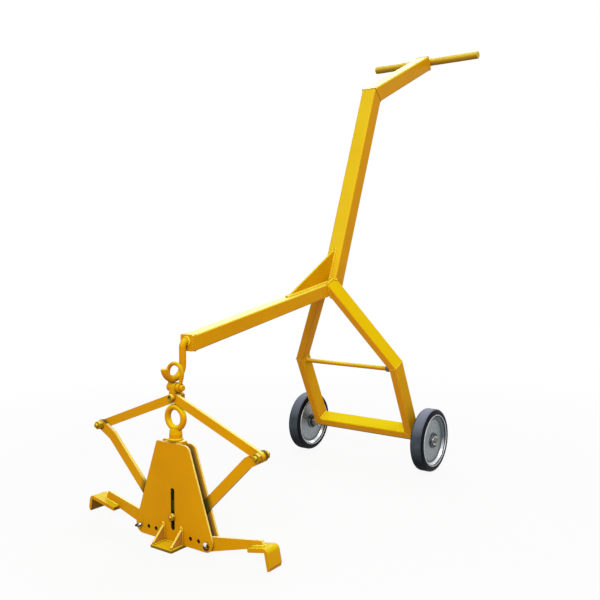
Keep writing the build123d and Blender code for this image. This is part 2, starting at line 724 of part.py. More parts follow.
for side, other, sign, tail, tip in (("left", "right", -1, left_tail, left_tip),
                                     ("right", "left", 1, right_tail, right_tip)):
    claw_rise, claw_drop, tail_length, tail_rise = tail
    root_lift, tip_reach, tip_rise, tip_cut, notch = tip
    lever_back = -layer_clear if side == "right" else layer_outer
    link_back = layer_outer if side == "left" else -layer_clear
    near_pivot = (sign * outer_pivot_x, outer_pivot_height)
    far_pivot = (-sign * outer_pivot_x, outer_pivot_height)
    pin_point = (sign * pin_x, pin_height)
    claw_start = (pin_x + tail_length, pin_height + tail_rise)
    claw_slant = sin(radians(claw_rise)) * (claw_drop - claw_bevel_height)
    claw_reach = (claw_half_span - claw_slant - claw_start[0]) / cos(radians(claw_rise))
    tip_foot = (tip_reach + tip_cut) / cos(radians(claw_rise))

    # Link from the top bolt down to the outer pivot of this side
    with BuildPart() as link:
        with BuildSketch(layer(link_back)):
            bar_between((0, top_pivot_height), near_pivot, link_width)
            with Locations((0, top_pivot_height), near_pivot):
                Circle(pivot_radius + run_clear, mode=Mode.SUBTRACT)
        extrude(amount=lever_thickness)
    save(f"link_{side}", link.part)

    # Lever from the other side's outer pivot, over the stop, to this side's adjusting pin and claw
    with BuildPart() as lever:
        with BuildSketch(layer(lever_back)):
            kink = (-sign * (outer_pivot_x - kink_in), outer_pivot_height - kink_drop)
            bend = (-sign * (pin_x - bend_in), pin_height + bend_rise)
            crest = (0, lever_crest_height)
            bar_between(far_pivot, kink, lever_width)
            bar_between(kink, bend, lever_width)
            bar_between(bend, crest, lever_width)
            bar_between(crest, pin_point, lever_width)
            with BuildSketch(mode=Mode.PRIVATE) as tail_outline:
                with Locations((sign * pin_x, pin_height + root_lift)):
                    Circle(lever_root_radius)
                with BuildLine():
                    heel = claw_point(claw_start, claw_rise, 0, notch)
                    toe = claw_point(claw_start, claw_rise, tip_foot, 0)
                    Polyline((sign * heel[0], heel[1]), (sign * toe[0], toe[1]),
                             (sign * (claw_start[0] + tip_reach), claw_start[1] + tip_rise), close=True)
                make_face()
            make_hull(tail_outline.edges())
            with BuildLine():
                claw_place = [claw_point(claw_start, claw_rise, out, below) for out, below in
                              ((0, 0), (claw_reach, 0), (claw_reach, claw_drop), (0, claw_drop))]
                Polyline(*[(sign * x, z) for x, z in claw_place], close=True)
            make_face(mode=Mode.SUBTRACT)
            with Locations(far_pivot):
                Circle(pivot_radius, mode=Mode.SUBTRACT)
            with Locations(pin_point):
                if side == "right":
                    Circle(pin_radius + run_clear, mode=Mode.SUBTRACT)
                else:
                    SlotOverall(2 * (pin_radius + slot_clear_x), 2 * (pin_radius + slot_clear_z),
                                mode=Mode.SUBTRACT)
        extrude(amount=lever_thickness)
    save(f"lever_{side}", lever.part)

    # Claw: wide bent flat under the end of the lever, turned down and bevelled at its outer edge
    with BuildPart() as claw:
        with BuildSketch(layer(lever_back - lever_thickness / 2 + claw_width / 2)):
            with BuildLine():
                claw_section = [claw_point(claw_start, claw_rise, out, below) for out, below in (
                    (0, 0), (claw_reach, 0), (claw_reach, claw_drop - claw_bevel_height),
                    (claw_reach - claw_bevel_depth, claw_drop), (claw_reach - claw_thickness, claw_drop),
                    (claw_reach - claw_thickness, claw_thickness), (0, claw_thickness))]
                Polyline(*[(sign * x, z) for x, z in claw_section], close=True)
            profile = make_face()
            bend_corner = (sign * claw_section[1][0], claw_section[1][1])
            fillet(profile.vertices().sort_by_distance(bend_corner)[0], claw_bend)
        extrude(amount=claw_width)
    save(f"claw_{side}", claw.part)

    # Bolt of the lever's outer pivot, put in from behind, with a washer under the head and under the nut
    outer_face = layer_outer + side_clear + washer_height
    with BuildPart() as outer_bolt:
        with BuildSketch(layer(outer_face)):
            with Locations(far_pivot):
                Circle(pivot_radius)
        extrude(amount=2 * outer_face + bolt_nut_height + outer_bolt_tail)
        with BuildSketch(layer(outer_face + bolt_head_height)):
            with Locations(far_pivot):
                RegularPolygon(bolt_flats / 2, 6, major_radius=False)
        extrude(amount=bolt_head_height)
    save(f"outer_bolt_{other}", outer_bolt.part)

    with BuildPart() as outer_washers:
        with BuildSketch(layer(outer_face)):
            with Locations(far_pivot):
                Circle(washer_radius)
                Circle(pivot_radius, mode=Mode.SUBTRACT)
        extrude(amount=washer_height)
        with BuildSketch(layer(-layer_outer - side_clear)):
            with Locations(far_pivot):
                Circle(washer_radius)
                Circle(pivot_radius, mode=Mode.SUBTRACT)
        extrude(amount=washer_height)
    save(f"outer_washers_{other}", outer_washers.part)

    with BuildPart() as outer_nut:
        with BuildSketch(layer(-outer_face)):
            with Locations(far_pivot):
                RegularPolygon(bolt_flats / 2, 6, major_radius=False)
                Circle(pivot_radius, mode=Mode.SUBTRACT)
        extrude(amount=bolt_nut_height)
    save(f"outer_nut_{other}", outer_nut.part)

# Tong plates: tapered, with a slot for the stop bolt and a row of holes each side for the pins
hole_x = [pin_x - pin_pitch * n for n in range(pin_spares + 1)]
hole_points = [(sign * x, pin_height) for sign in (-1, 1) for x in hole_x]
for name, plate_back in (("front_plate", -plate_inner), ("rear_plate", plate_outer)):
    with BuildPart() as plate:
        with BuildSketch(layer(plate_back)) as outline:
            with BuildLine():
                Polyline((-plate_foot_half, foot_thickness), (plate_foot_half, foot_thickness),
                         (plate_top_half, plate_top), (-plate_top_half, plate_top), close=True)
            make_face()
            fillet(outline.vertices().group_by(Axis.Y)[0], plate_bottom_corner)
            fillet(outline.vertices().group_by(Axis.Y)[-1].sort_by(Axis.X)[0], plate_left_corner)
            fillet(outline.vertices().group_by(Axis.Y)[-1].sort_by(Axis.X)[-1], plate_right_corner)
            with Locations((0, (slot_bottom + slot_top) / 2)):
                SlotOverall(slot_top - slot_bottom, slot_width, rotation=90, mode=Mode.SUBTRACT)
            with Locations(*hole_points):
                Circle(pin_radius, mode=Mode.SUBTRACT)
        extrude(amount=plate_thickness)
    save(name, plate.part)

# Head block that holds the plates apart, with the eyebolt standing on it
with BuildPart() as head_block:
    with BuildSketch(layer(plate_inner)):
        with Locations((0, head_block_bottom)):
            Rectangle(2 * head_block_half, head_block_depth, align=(Align.CENTER, Align.MIN))
    extrude(amount=2 * plate_inner)
save("head_block", head_block.part)

with BuildPart() as eyebolt:
    with BuildSketch(layer(0)):
        with BuildLine():
            neck_height = eye_height - eye_ring_radius
            flange_top = head_block_top + eye_flange_height
            Polyline((0, head_block_top), (eye_flange_radius, head_block_top),
                     (eye_flange_radius, flange_top), (eye_collar_radius, flange_top + eye_flange_slope),
                     (eye_collar_radius, head_block_top + eye_collar_height), (eye_neck_radius, neck_height),
                     (0, neck_height), close=True)
        make_face()
    revolve(axis=Axis((0, tong_y, 0), (0, 0, 1)))
    with BuildSketch(Plane((eye_ring_radius, tong_y, eye_height))):
        Circle(eye_bar_radius)
    revolve(axis=Axis((0, tong_y, eye_height), (0, 1, 0)))
save("eyebolt", eyebolt.part)

# Foot plate under both plates, with two gussets in front and two behind
with BuildPart() as foot_plate:
    with BuildSketch(Plane.XY):
        with Locations((0, tong_y)):
            RectangleRounded(foot_width, foot_length, foot_corner)
    extrude(amount=foot_thickness)
save("foot_plate", foot_plate.part)

with BuildPart() as foot_gussets:
    with BuildSketch(Plane.YZ.offset(foot_gusset_x - foot_gusset_thickness / 2)):
        with BuildLine():
            gusset_reach = foot_length / 2 - foot_gusset_end
            Polyline((tong_y - plate_outer, foot_thickness), (tong_y - plate_outer, foot_gusset_top),
                     (tong_y - gusset_reach, foot_thickness + foot_gusset_end),
                     (tong_y - gusset_reach, foot_thickness), close=True)
        make_face()
    extrude(amount=foot_gusset_thickness)
    mirror(about=Plane.YZ)
    mirror(about=Plane.XZ.offset(-tong_y))
save("foot_gussets", foot_gussets.part)

# Split rings: the left one lies out level to the front, the right one hangs in front of the plate
pin_tip = plate_outer + pin_front
ring_y = tong_y - pin_tip + ring_setback
with BuildPart() as left_ring:
    with BuildSketch(Plane((-pin_x, ring_y, pin_height), x_dir=(0, 1, 0), z_dir=(1, 0, 0))):
        Circle(ring_wire_radius)
    revolve(axis=Axis((-pin_x, ring_y - ring_radius, pin_height), (0, 0, 1)))

with BuildPart() as right_ring:
    with BuildSketch(Plane((pin_x, ring_y, pin_height), x_dir=(0, 1, 0), z_dir=(1, 0, 0))):
        Circle(ring_wire_radius)
    revolve(axis=Axis((pin_x, ring_y, pin_height - ring_radius), (0, 1, 0)))

with BuildPart() as pin_rings:
    add(left_ring.part)
    add(right_ring.part)
save("pin_rings", pin_rings.part)

# Adjusting pins: headed at the back, drilled across at the front for their rings
with BuildPart() as adjusting_pins:
    with BuildSketch(layer(plate_outer)):
        with Locations((-pin_x, pin_height), (pin_x, pin_height)):
            Circle(pin_radius)
    extrude(amount=plate_outer + pin_tip)
    with BuildSketch(layer(plate_outer + pin_head_height)):
        with Locations((-pin_x, pin_height), (pin_x, pin_height)):
            Circle(pin_head_radius)
    extrude(amount=pin_head_height)
    chamfer(adjusting_pins.edges().group_by(Axis.Y)[0], edge_break)
    add(pin_rings.part, mode=Mode.SUBTRACT)
save("adjusting_pins", adjusting_pins.part)

# Stop bolt, clamped in the slot through a sleeve between the plates, on which the levers come to rest
stop_point = (0, stop_height)
stop_face = plate_outer + stop_washer_height
with BuildPart() as stop_bolt:
    with BuildSketch(layer(stop_face + stop_nut_height + bolt_tail)):
        with Locations(stop_point):
            Circle(stop_radius)
    extrude(amount=2 * stop_face + stop_nut_height + bolt_tail)
    with BuildSketch(layer(-stop_face)):
        with Locations(stop_point):
            RegularPolygon(stop_flats / 2, 6, major_radius=False)
    extrude(amount=stop_head_height)
save("stop_bolt", stop_bolt.part)

with BuildPart() as stop_sleeve:
    with BuildSketch(layer(plate_inner)):
        with Locations(stop_point):
            Circle(stop_sleeve_radius)
            Circle(stop_radius, mode=Mode.SUBTRACT)
    extrude(amount=2 * plate_inner)
save("stop_sleeve", stop_sleeve.part)

with BuildPart() as stop_washers:
    with BuildSketch(layer(stop_face)):
        with Locations(stop_point):
            Circle(stop_washer_radius)
            Circle(stop_radius, mode=Mode.SUBTRACT)
    extrude(amount=stop_washer_height)
    mirror(about=Plane.XZ.offset(-tong_y))
save("stop_washers", stop_washers.part)

with BuildPart() as stop_nut:
    with BuildSketch(layer(stop_face + stop_nut_height)):
        with Locations(stop_point):
            RegularPolygon(stop_flats / 2, 6, major_radius=False)
            Circle(stop_radius, mode=Mode.SUBTRACT)
    extrude(amount=stop_nut_height)
save("stop_nut", stop_nut.part)

# Axle and tong planes, which the joints turn in
print("axle", round(axle_y, 3), "tong", round(tong_y, 3), "depth", round(front_reach + rear_reach, 3))
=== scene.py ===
import json
from math import cos, pi, radians, sin, tan

import bmesh
import bpy
from mathutils import Matrix, Vector


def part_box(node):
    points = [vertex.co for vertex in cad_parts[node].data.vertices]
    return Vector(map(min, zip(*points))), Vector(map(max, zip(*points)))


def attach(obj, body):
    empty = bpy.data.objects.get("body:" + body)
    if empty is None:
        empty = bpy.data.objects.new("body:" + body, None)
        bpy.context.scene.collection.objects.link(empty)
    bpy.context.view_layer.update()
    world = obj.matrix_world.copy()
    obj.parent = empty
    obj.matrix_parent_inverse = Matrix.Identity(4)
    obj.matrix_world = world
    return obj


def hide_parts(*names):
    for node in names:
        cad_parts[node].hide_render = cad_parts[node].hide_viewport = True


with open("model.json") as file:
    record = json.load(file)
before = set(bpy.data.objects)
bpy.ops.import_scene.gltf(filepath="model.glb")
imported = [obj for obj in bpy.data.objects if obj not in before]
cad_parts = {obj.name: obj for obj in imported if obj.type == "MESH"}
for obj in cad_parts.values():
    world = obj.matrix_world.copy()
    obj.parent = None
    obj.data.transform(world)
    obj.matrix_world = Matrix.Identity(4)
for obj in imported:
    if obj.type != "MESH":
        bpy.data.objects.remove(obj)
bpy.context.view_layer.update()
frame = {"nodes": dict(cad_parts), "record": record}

# Sizes are in millimetres, as on the workshop drawing; a finished piece is scaled to metres
MM = 0.001

# Leg frame: lean, half width, width of its tubes and their front face, and heights up its slope from the axle
FRAME_LEAN = radians(26)
FRAME_HALF = 190
LEG_WIDTH = 25
LEG_FRONT = 25
LEG_INNER = FRAME_HALF - LEG_WIDTH
CROSS_FOOT = 10
CROSS_TOP = CROSS_FOOT + LEG_WIDTH
KNEE_INNER = 276.2
KNEE_OUTER = 282.9
LEG_UNDER_ARM = 527
LEG_OVER_ARM = 576
LEG_OVER_MAST = 568
AXLE_WASHER_X = 253.3

# Tie rod under the knees, and the stack of nuts at its right-hand end
TIE_HEIGHT = 264.5
TIE_RADIUS = 7
TIE_NUT_FLATS = 18
TIE_OUTER_NUT = 11
TIE_WASHER = 3
TIE_INNER_NUT = 10

# Mast, handle stem and lifting arm: slopes, half sections, lengths and where they meet
MAST_LEAN = radians(21)
MAST_HALF = 25
MAST_LENGTH = 695
MAST_FOOT_AHEAD = 226.711
MAST_FOOT_RISE = 473.302
STEM_RISE = radians(24.9)
STEM_LENGTH = 420
STEM_PLATE = 4
ARM_FALL = radians(9.7)
ARM_HALF = 20
ARM_UP_MAST = 32
ARM_LENGTH = 622.336
ARM_END_HEIGHT = 40.6
ARM_END_AHEAD = 852
ARM_BLOCK = 12
HOOK_ROOT_HEIGHT = 491
HOOK_WELD_RADIUS = 10
GUSSET_HALF = 3
GUSSET_WELD_UP = 107
GUSSET_WELD_ALONG = 213

# Tong: pivots as places across and above the floor, bolts and washers, levers, plates, foot and head block
TOP_PIVOT = (0, 360)
OUTER_PIVOT_X, OUTER_PIVOT_Z = 263.6, 258
STOP = (0, 69)
PIVOT_RADIUS = 6
PIVOT_WASHER = 2.5
STOP_RADIUS = 5
STOP_WASHER = 2
LEVER_HALF = 4
LEVER_LAYER = 4.2
LEVER_FACE = 8.5
PLATE_FACE = 13.5
PLATE_TOP = 250
PLATE_TOP_HALF = 52.5
PLATE_FOOT_HALF = 137.2
FOOT_THICKNESS = 6
FOOT_GUSSET_X = 30
FOOT_GUSSET_TOP = 47
FOOT_GUSSET_END = 49
HEAD_BLOCK_HALF = 29
HEAD_BLOCK_BACK = 9.4

# Plates' sloping edge: half width lost with each millimetre of height, and half width if run on to the floor
PLATE_SLOPE = (PLATE_FOOT_HALF - PLATE_TOP_HALF) / (PLATE_TOP - FOOT_THICKNESS)
PLATE_REACH = PLATE_FOOT_HALF + FOOT_THICKNESS * PLATE_SLOPE

# Welds: how far a bead's middle lies off the faces that it joins, and the order of a square tube's corners
OFF = 1
SQUARE = ((-1, -1), (1, -1), (1, 1), (-1, 1))
# Run over a leg's top: where it leaves the arm and where it reaches the mast, forward of the frame's middle
LEAVES_ARM = -11
REACHES_MAST = -16
# Stitches along the axle: places across, half length, height up the slope, and distance off its middle
STITCH_X = (-120, 0, 120)
STITCH_HALF = 30
STITCH_HEIGHT = 8.6
STITCH_OUT = 6
# Runs above and below the handle bar, and half length of the runs along the foot of the tong plates
BAR_WELD_RISE = 7.5
FOOT_WELD_HALF = 25

# Crease angles in degrees, of turned and of hexagon pieces
CREASE = 38
HEX_CREASE = 25


def middle(node):
    """Middle of a solid's box, in millimetres."""
    low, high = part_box(node)
    return (low + high) / (2 * MM)


AXLE = Vector((0, middle("tyre_right").y, middle("tyre_right").z))
WHEEL_X = middle("tyre_right").x
TONG_Y = middle("foot_plate").y
ACROSS = Vector((1, 0, 0))
FRONT = Vector((0, -1, 0))
UP = Vector((0, 0, 1))

# Directions and places of the welded frame
FRAME_UP = Vector((0, -sin(FRAME_LEAN), cos(FRAME_LEAN)))
FRAME_FRONT = Vector((0, -cos(FRAME_LEAN), -sin(FRAME_LEAN)))
MAST_UP = Vector((0, sin(MAST_LEAN), cos(MAST_LEAN)))
MAST_FRONT = Vector((0, -cos(MAST_LEAN), sin(MAST_LEAN)))
MAST_FOOT = AXLE + Vector((0, -MAST_FOOT_AHEAD, MAST_FOOT_RISE))
MAST_HEAD = MAST_FOOT + MAST_LENGTH * MAST_UP
STEM_OUT = Vector((0, cos(STEM_RISE), sin(STEM_RISE)))
STEM_UP = Vector((0, -sin(STEM_RISE), cos(STEM_RISE)))
ARM_OUT = Vector((0, -cos(ARM_FALL), -sin(ARM_FALL)))
ARM_UP = Vector((0, -sin(ARM_FALL), cos(ARM_FALL)))
ARM_ROOT = MAST_FOOT + MAST_HALF * MAST_FRONT + ARM_UP_MAST * MAST_UP
ARM_END_Y = AXLE.y - ARM_END_AHEAD


def on_frame(x, up, out):
    """A place on the leg frame: across, up its slope from the axle, and forward of its middle."""
    return AXLE + x * ACROSS + up * FRAME_UP + out * FRAME_FRONT


def on_mast(x, up, out):
    """A place on the mast: across, up from its foot, and forward of its middle."""
    return MAST_FOOT + x * ACROSS + up * MAST_UP + out * MAST_FRONT


def on_arm(x, along, up):
    """A place on the arm: across, forward from the mast, and up from its top face."""
    return ARM_ROOT + x * ACROSS + along * ARM_OUT + up * ARM_UP


def on_stem(x, along, up):
    """A place on the handle stem: across, back from the mitre, and up from its middle."""
    return MAST_HEAD + x * ACROSS + along * STEM_OUT + up * STEM_UP


def on_tong(x, z, back):
    """A place on the tong: across, above the floor, and behind its middle."""
    return Vector((x, TONG_Y + back, z))


# Materials

def linear(code):
    """Linear colour of an sRGB hex value."""
    parts = [int(code[i:i + 2], 16) / 255 for i in (1, 3, 5)]
    return [p / 12.92 if p <= 0.04045 else ((p + 0.055) / 1.055) ** 2.4 for p in parts] + [1]


def feed(tree, node, inputs):
    """Give a node's inputs their values or links."""
    for key, value in inputs.items():
        if isinstance(value, bpy.types.NodeSocket):
            tree.links.new(value, node.inputs[key])
        else:
            node.inputs[key].default_value = value


def add(tree, kind, inputs=None, **settings):
    """Add a node with its settings, and give its inputs their values or links."""
    node = tree.nodes.new("ShaderNode" + kind)
    for key, value in settings.items():
        setattr(node, key, value)
    feed(tree, node, inputs or {})
    return node


def material(name):
    """A new material, its node tree and its shader."""
    made = bpy.data.materials.new(name)
    made.use_nodes = True
    return made, made.node_tree, made.node_tree.nodes["Principled BSDF"]


def stops(ramp, colours):
    """Set a colour ramp's stops from pairs of place and hex value."""
    elements = ramp.color_ramp.elements
    while len(elements) < len(colours):
        elements.new(0.5)
    for element, (place, code) in zip(elements, colours):
        element.position = place
        element.color = linear(code)


def layered(tree, colour, layers):
    """A colour with layers over it, each a share from 0 to 1 and the colour that it brings."""
    for share, over in layers:
        colour = add(tree, "MixRGB", {"Fac": share, "Color1": colour, "Color2": over}).outputs[0]
    return colour


# Colours of the enamel from faces that look straight down to those that look straight up. This is painted
# light: more orange and darker below, lemon and paler above, near white on top of some parts as a painted
# highlight, with lit and shaded variants for groups of parts
ENAMEL_PAINTED_LIGHT = [(0.0, "#AC6603"), (0.30, "#BE7A02"), (0.50, "#CD8D01"), (0.68, "#DDB606"), (1.0, "#EBD510")]
FRAME_PAINTED_LIGHT = ENAMEL_PAINTED_LIGHT[:3] + [(0.68, "#DFBA1E"), (1.0, "#F3E458")]
LEG_PAINTED_LIGHT = [(0.0, "#B87418"), (0.30, "#D08C1A"), (0.50, "#D29A14"), (0.68, "#DDB606"), (1.0, "#EBD510")]
CLAW_PAINTED_LIGHT = [(0.0, "#A05E03"), (0.30, "#B87402"), (0.50, "#C68602"), (0.68, "#D09C06"), (1.0, "#DDC012")]
FOOT_PAINTED_LIGHT = [(0.0, "#4A3A0A"), (0.50, "#7C640E"), (0.75, "#C09812"), (1.0, "#EAC416")]
WEB_PAINTED_LIGHT = [(0.0, "#A05A10"), (0.50, "#B8802A"), (0.68, "#E6C030"), (1.0, "#F6E070")]
BEAD_PAINTED_LIGHT = [(0.0, "#BC7A04"), (0.30, "#CE9406"), (0.50, "#DCAC0C"), (0.68, "#E8C81C"), (1.0, "#F4E24A")]
BOLT_PAINTED_LIGHT = [(0.0, "#6A4806"), (0.30, "#865E08"), (0.50, "#A67A0C"), (0.68, "#DAB022"), (1.0, "#F4DE60")]
PLATE_PAINTED_LIGHT = ENAMEL_PAINTED_LIGHT[:3] + [(0.60, "#D9A420"), (0.66, "#EBCB62"), (1.0, "#F8EBA8")]
LEVER_PAINTED_LIGHT = ENAMEL_PAINTED_LIGHT[:-1] + [(0.86, "#EDD76A"), (1.0, "#FBF0B8")]
SEAM_DARK_AND_PAINTED_LIGHT = [(0.0, "#6A4404"), (1.0, "#8A5C08")]
LINK_PAINTED_LIGHT = ENAMEL_PAINTED_LIGHT[:-1] + [(0.88, "#E6CC22"), (1.0, "#FBEE8E")]
GRIP_PAINTED_LIGHT = [(0.0, "#8A5E14"), (0.30, "#A67E1C"), (0.50, "#CBA82C"), (0.70, "#E6CC4E"), (1.0, "#FAEE96")]

# Colours that wear, dirt, painted shade and painted highlights bring to the enamel, the zinc and the rubber
CORNER_SHADE_BROWN = "#593802"
UPPER_EDGE_HIGHLIGHT = "#F3DC62"
HAND_GRIME = "#77601F"
INWARD_SHADE_BROWN = "#5E4210"
PIVOT_RIM_SHADE = "#3A3206"
ZINC_CORNER_SHADE = "#232527"
WALL_PAINTED_SHADE = "#5C6166"
WALL_PAINTED_HIGHLIGHT = "#DFE2E5"
LIP_PAINTED_HIGHLIGHT = "#B6BABE"
WALL_FOOT_SHADE = "#34383B"
GROOVE_SHADE = "#2B2D2F"
TREAD_DUST_AND_SHEEN = "#949AAE"
TREAD_LOWER_SHADE = "#0C0F10"

# Sizes of the patterns: clouds, reach of the painted shade in corners, edges, peel and grime of the enamel
PAINT_CLOUD = 120
CORNER_SHADE_REACH = 14
PAINT_EDGE = 1.2
PAINT_PEEL = 4
PEEL_DEPTH = 0.4
GRIME_PATCH = 25
# Spangle, reach of the painted shade in corners, and tool lines of the zinc
ZINC_SPANGLE = 6
ZINC_SHADE_REACH = 7
TOOL_LINE = 1.5
ZINC_DEPTH = 0.3
# Dust and mould grain of the rubber, and drawing marks of the wire
DUST_PATCH = 15
MOULD_GRAIN = 1.2
GRAIN_DEPTH = 0.3
WIRE_MARK = 1

# Radii on a wheel: start of the wall painted bright, rolled lip painted pale as a highlight, painted shade
# below the wall and in the groove, and tread
WALL_FOOT, WALL_START = 71.5, 73.0
LIP_FOOT, LIP_START = 79.7, 79.9
WALL_SHADE_RADIUS, WALL_SHADE_HALF = 68.8, 3.6
GROOVE_RADIUS, GROOVE_HALF = 79.0, 0.7
TREAD_RADIUS = 98.3

# Between the plates the paint is darkened as painted shade, from a foot height to a top height
GAP_SHADE_FOOT = 9
GAP_SHADE_TOP = 246
# At the low end the painted shade stops some way in from their sloping edges, and this inset falls off over a
# rise
GAP_SHADE_INSET = 10
GAP_SHADE_RISE = 8


def between_plates(tree, place, depth, low, outer, fade):
    """Share of what lies between the tong plates, within a depth of the tong's middle.

    Above a low height it ends at an outer distance from the plates' sloping edges, and fades out there.
    """
    centred = add(tree, "Mapping", {"Vector": place.outputs["Object"], "Location": (0, -MM * TONG_Y, 0)})
    spot = add(tree, "SeparateXYZ", {0: centred.outputs[0]})
    aside = add(tree, "Math", {0: spot.outputs["X"]}, operation="ABSOLUTE")
    reach = add(tree, "Math", {0: spot.outputs["Z"], 1: PLATE_SLOPE, 2: aside.outputs[0]},
                operation="MULTIPLY_ADD")
    limit = add(tree, "MapRange", {"Value": spot.outputs["Z"],
                                   "From Min": MM * low, "From Max": MM * (low + GAP_SHADE_RISE),
                                   "To Min": MM * (PLATE_REACH - GAP_SHADE_INSET),
                                   "To Max": MM * (PLATE_REACH + outer)})
    within = add(tree, "Math", {0: limit.outputs[0], 1: reach.outputs[0]}, operation="SUBTRACT")
    share = add(tree, "MapRange", {"Value": within.outputs[0], "From Max": MM * fade})
    away = add(tree, "Math", {0: spot.outputs["Y"]}, operation="ABSOLUTE")
    for value, bound, test in ((away.outputs[0], depth, "LESS_THAN"),
                               (spot.outputs["Z"], GAP_SHADE_TOP, "LESS_THAN"),
                               (spot.outputs["Z"], GAP_SHADE_FOOT, "GREATER_THAN")):
        met = add(tree, "Math", {0: value, 1: MM * bound}, operation=test)
        share = add(tree, "Math", {0: share.outputs[0], 1: met.outputs[0]}, operation="MULTIPLY")
    return share.outputs[0]


def inward_faces(tree, place, turn, most):
    """Share of faces that look in to the middle of the tong."""
    spot = add(tree, "SeparateXYZ", {0: place.outputs["Object"]})
    side = add(tree, "Math", {0: spot.outputs["X"]}, operation="SIGN")
    inward = add(tree, "Math", {0: side.outputs[0], 1: turn.outputs["X"]}, operation="MULTIPLY")
    share = add(tree, "MapRange", {"Value": inward.outputs[0], "From Min": -0.4, "From Max": -0.9,
                                   "To Max": most})
    return share.outputs[0]


def rim_at_joint(tree, place, turn, far, high, around):
    """Share of the rim of a lever that lies within a radius of the pivot at its outer end, on both sides."""
    spot = add(tree, "SeparateXYZ", {0: place.outputs["Object"]})
    aside = add(tree, "Math", {0: spot.outputs["X"]}, operation="ABSOLUTE")
    flat = add(tree, "CombineXYZ", {0: aside.outputs[0], 2: spot.outputs["Z"]})
    gap = add(tree, "VectorMath", {0: flat.outputs[0], 1: (MM * far, 0, MM * high)}, operation="DISTANCE")
    near = add(tree, "Math", {0: gap.outputs["Value"], 1: MM * around}, operation="LESS_THAN")
    sideways = add(tree, "Math", {0: turn.outputs["Y"]}, operation="ABSOLUTE")
    rim = add(tree, "MapRange", {"Value": sideways.outputs[0], "From Min": 0.6, "From Max": 0.3,
                                 "To Max": 0.9})
    return add(tree, "Math", {0: near.outputs[0], 1: rim.outputs[0]}, operation="MULTIPLY").outputs[0]


def yellow_enamel(name, painted_light=ENAMEL_PAINTED_LIGHT, corner=0.85, gap_shade=None, gap_shade_colour=None, held=0.0, inward_shade=0.0, joint=None,
                  shine=0.03, dull=0.0):
    """Gloss alkyd enamel, sprayed over primed steel once the trolley was put together.

    Its colour is painted light: lemon and paler on faces that look up, and darker and more orange on those
    that look down.
    Corners are painted brown, as shade, and upper edges paler, as a painted highlight.
    It shows faint orange peel and slow clouds of colour.
    Between the tong plates a piece may be painted dark, as the shade that falls there.
    A held piece is browned by hands in patches, and rubbed smooth.
    Faces of a piece that look in to the middle of the tong may be painted brown, as shade.
    A lever may be painted dark on its rim at the outer pivot, as the shade of the link and the bolt.
    A dull piece has lost its gloss to dust.
    """
    made, tree, shader = material(name)
    place = add(tree, "TexCoord")
    turn = add(tree, "SeparateXYZ", {0: place.outputs["Normal"]})
    # Painted light: the colour follows how far a face looks up
    look = add(tree, "MapRange", {"Value": turn.outputs["Z"], "From Min": -1.0, "From Max": 1.0})
    ramp = add(tree, "ValToRGB", {"Fac": look.outputs[0]})
    stops(ramp, painted_light)
    # Clouds of film thickness
    cloud = add(tree, "TexNoise", {"Vector": place.outputs["Object"], "Scale": 1 / (MM * PAINT_CLOUD),
                                   "Detail": 3.0})
    tint = add(tree, "MixRGB", {"Fac": 0.16, "Color1": ramp.outputs[0], "Color2": cloud.outputs["Fac"]},
               blend_type="OVERLAY")
    # Painted shade in corners: brown where little is open around, up to the corner share
    open_to = add(tree, "AmbientOcclusion", {"Distance": MM * CORNER_SHADE_REACH}, samples=4)
    corner_shade_share = add(tree, "MapRange", {"Value": open_to.outputs["AO"], "From Min": 0.62, "From Max": 0.20,
                                  "To Max": corner})
    # Painted highlight on upper edges, found from a bevelled normal
    soft = add(tree, "Bevel", {"Radius": MM * PAINT_EDGE}, samples=6)
    face = add(tree, "NewGeometry")
    lean = add(tree, "VectorMath", {0: soft.outputs[0], 1: face.outputs["True Normal"]},
               operation="DOT_PRODUCT")
    edge = add(tree, "MapRange", {"Value": lean.outputs["Value"], "From Min": 0.995, "From Max": 0.90})
    upper = add(tree, "MapRange", {"Value": turn.outputs["Z"], "From Min": -0.2, "From Max": 0.6,
                                   "To Max": 0.6})
    highlight_share = add(tree, "Math", {0: edge.outputs[0], 1: upper.outputs[0]}, operation="MULTIPLY")
    layers = [(corner_shade_share.outputs[0], linear(CORNER_SHADE_BROWN)), (highlight_share.outputs[0], linear(UPPER_EDGE_HIGHLIGHT))]
    # Painted shade between the tong plates
    if gap_shade:
        layers.append((between_plates(tree, place, *gap_shade), linear(gap_shade_colour)))
    if held:
        grime = add(tree, "TexNoise", {"Vector": place.outputs["Object"], "Scale": 1 / (MM * GRIME_PATCH),
                                       "Detail": 4.0})
        worn = add(tree, "MapRange", {"Value": grime.outputs["Fac"], "From Min": 0.4, "From Max": 0.7,
                                      "To Max": held})
        layers.append((worn.outputs[0], linear(HAND_GRIME)))
    # Painted shade on faces that look in to the middle of the tong
    if inward_shade:
        layers.append((inward_faces(tree, place, turn, inward_shade), linear(INWARD_SHADE_BROWN)))
    # Painted shade on a lever's rim at its outer pivot
    if joint:
        layers.append((rim_at_joint(tree, place, turn, *joint), linear(PIVOT_RIM_SHADE)))
    # Orange peel, drawn at 4 mm so that it shows, where the real one is about 2 mm
    peel = add(tree, "TexNoise", {"Vector": place.outputs["Object"], "Scale": 1 / (MM * PAINT_PEEL),
                                  "Detail": 2.0})
    rough = add(tree, "MapRange", {"Value": cloud.outputs["Fac"], "To Min": 0.15 + dull,
                                   "To Max": 0.30 + dull})
    bump = add(tree, "Bump", {"Strength": 0.02 if held else 0.12, "Distance": MM * PEEL_DEPTH,
                              "Height": peel.outputs["Fac"], "Normal": soft.outputs[0]})
    feed(tree, shader, {"Base Color": layered(tree, tint.outputs[0], layers), "Roughness": rough.outputs[0],
                        "Normal": bump.outputs[0], "Specular IOR Level": shine})
    return made


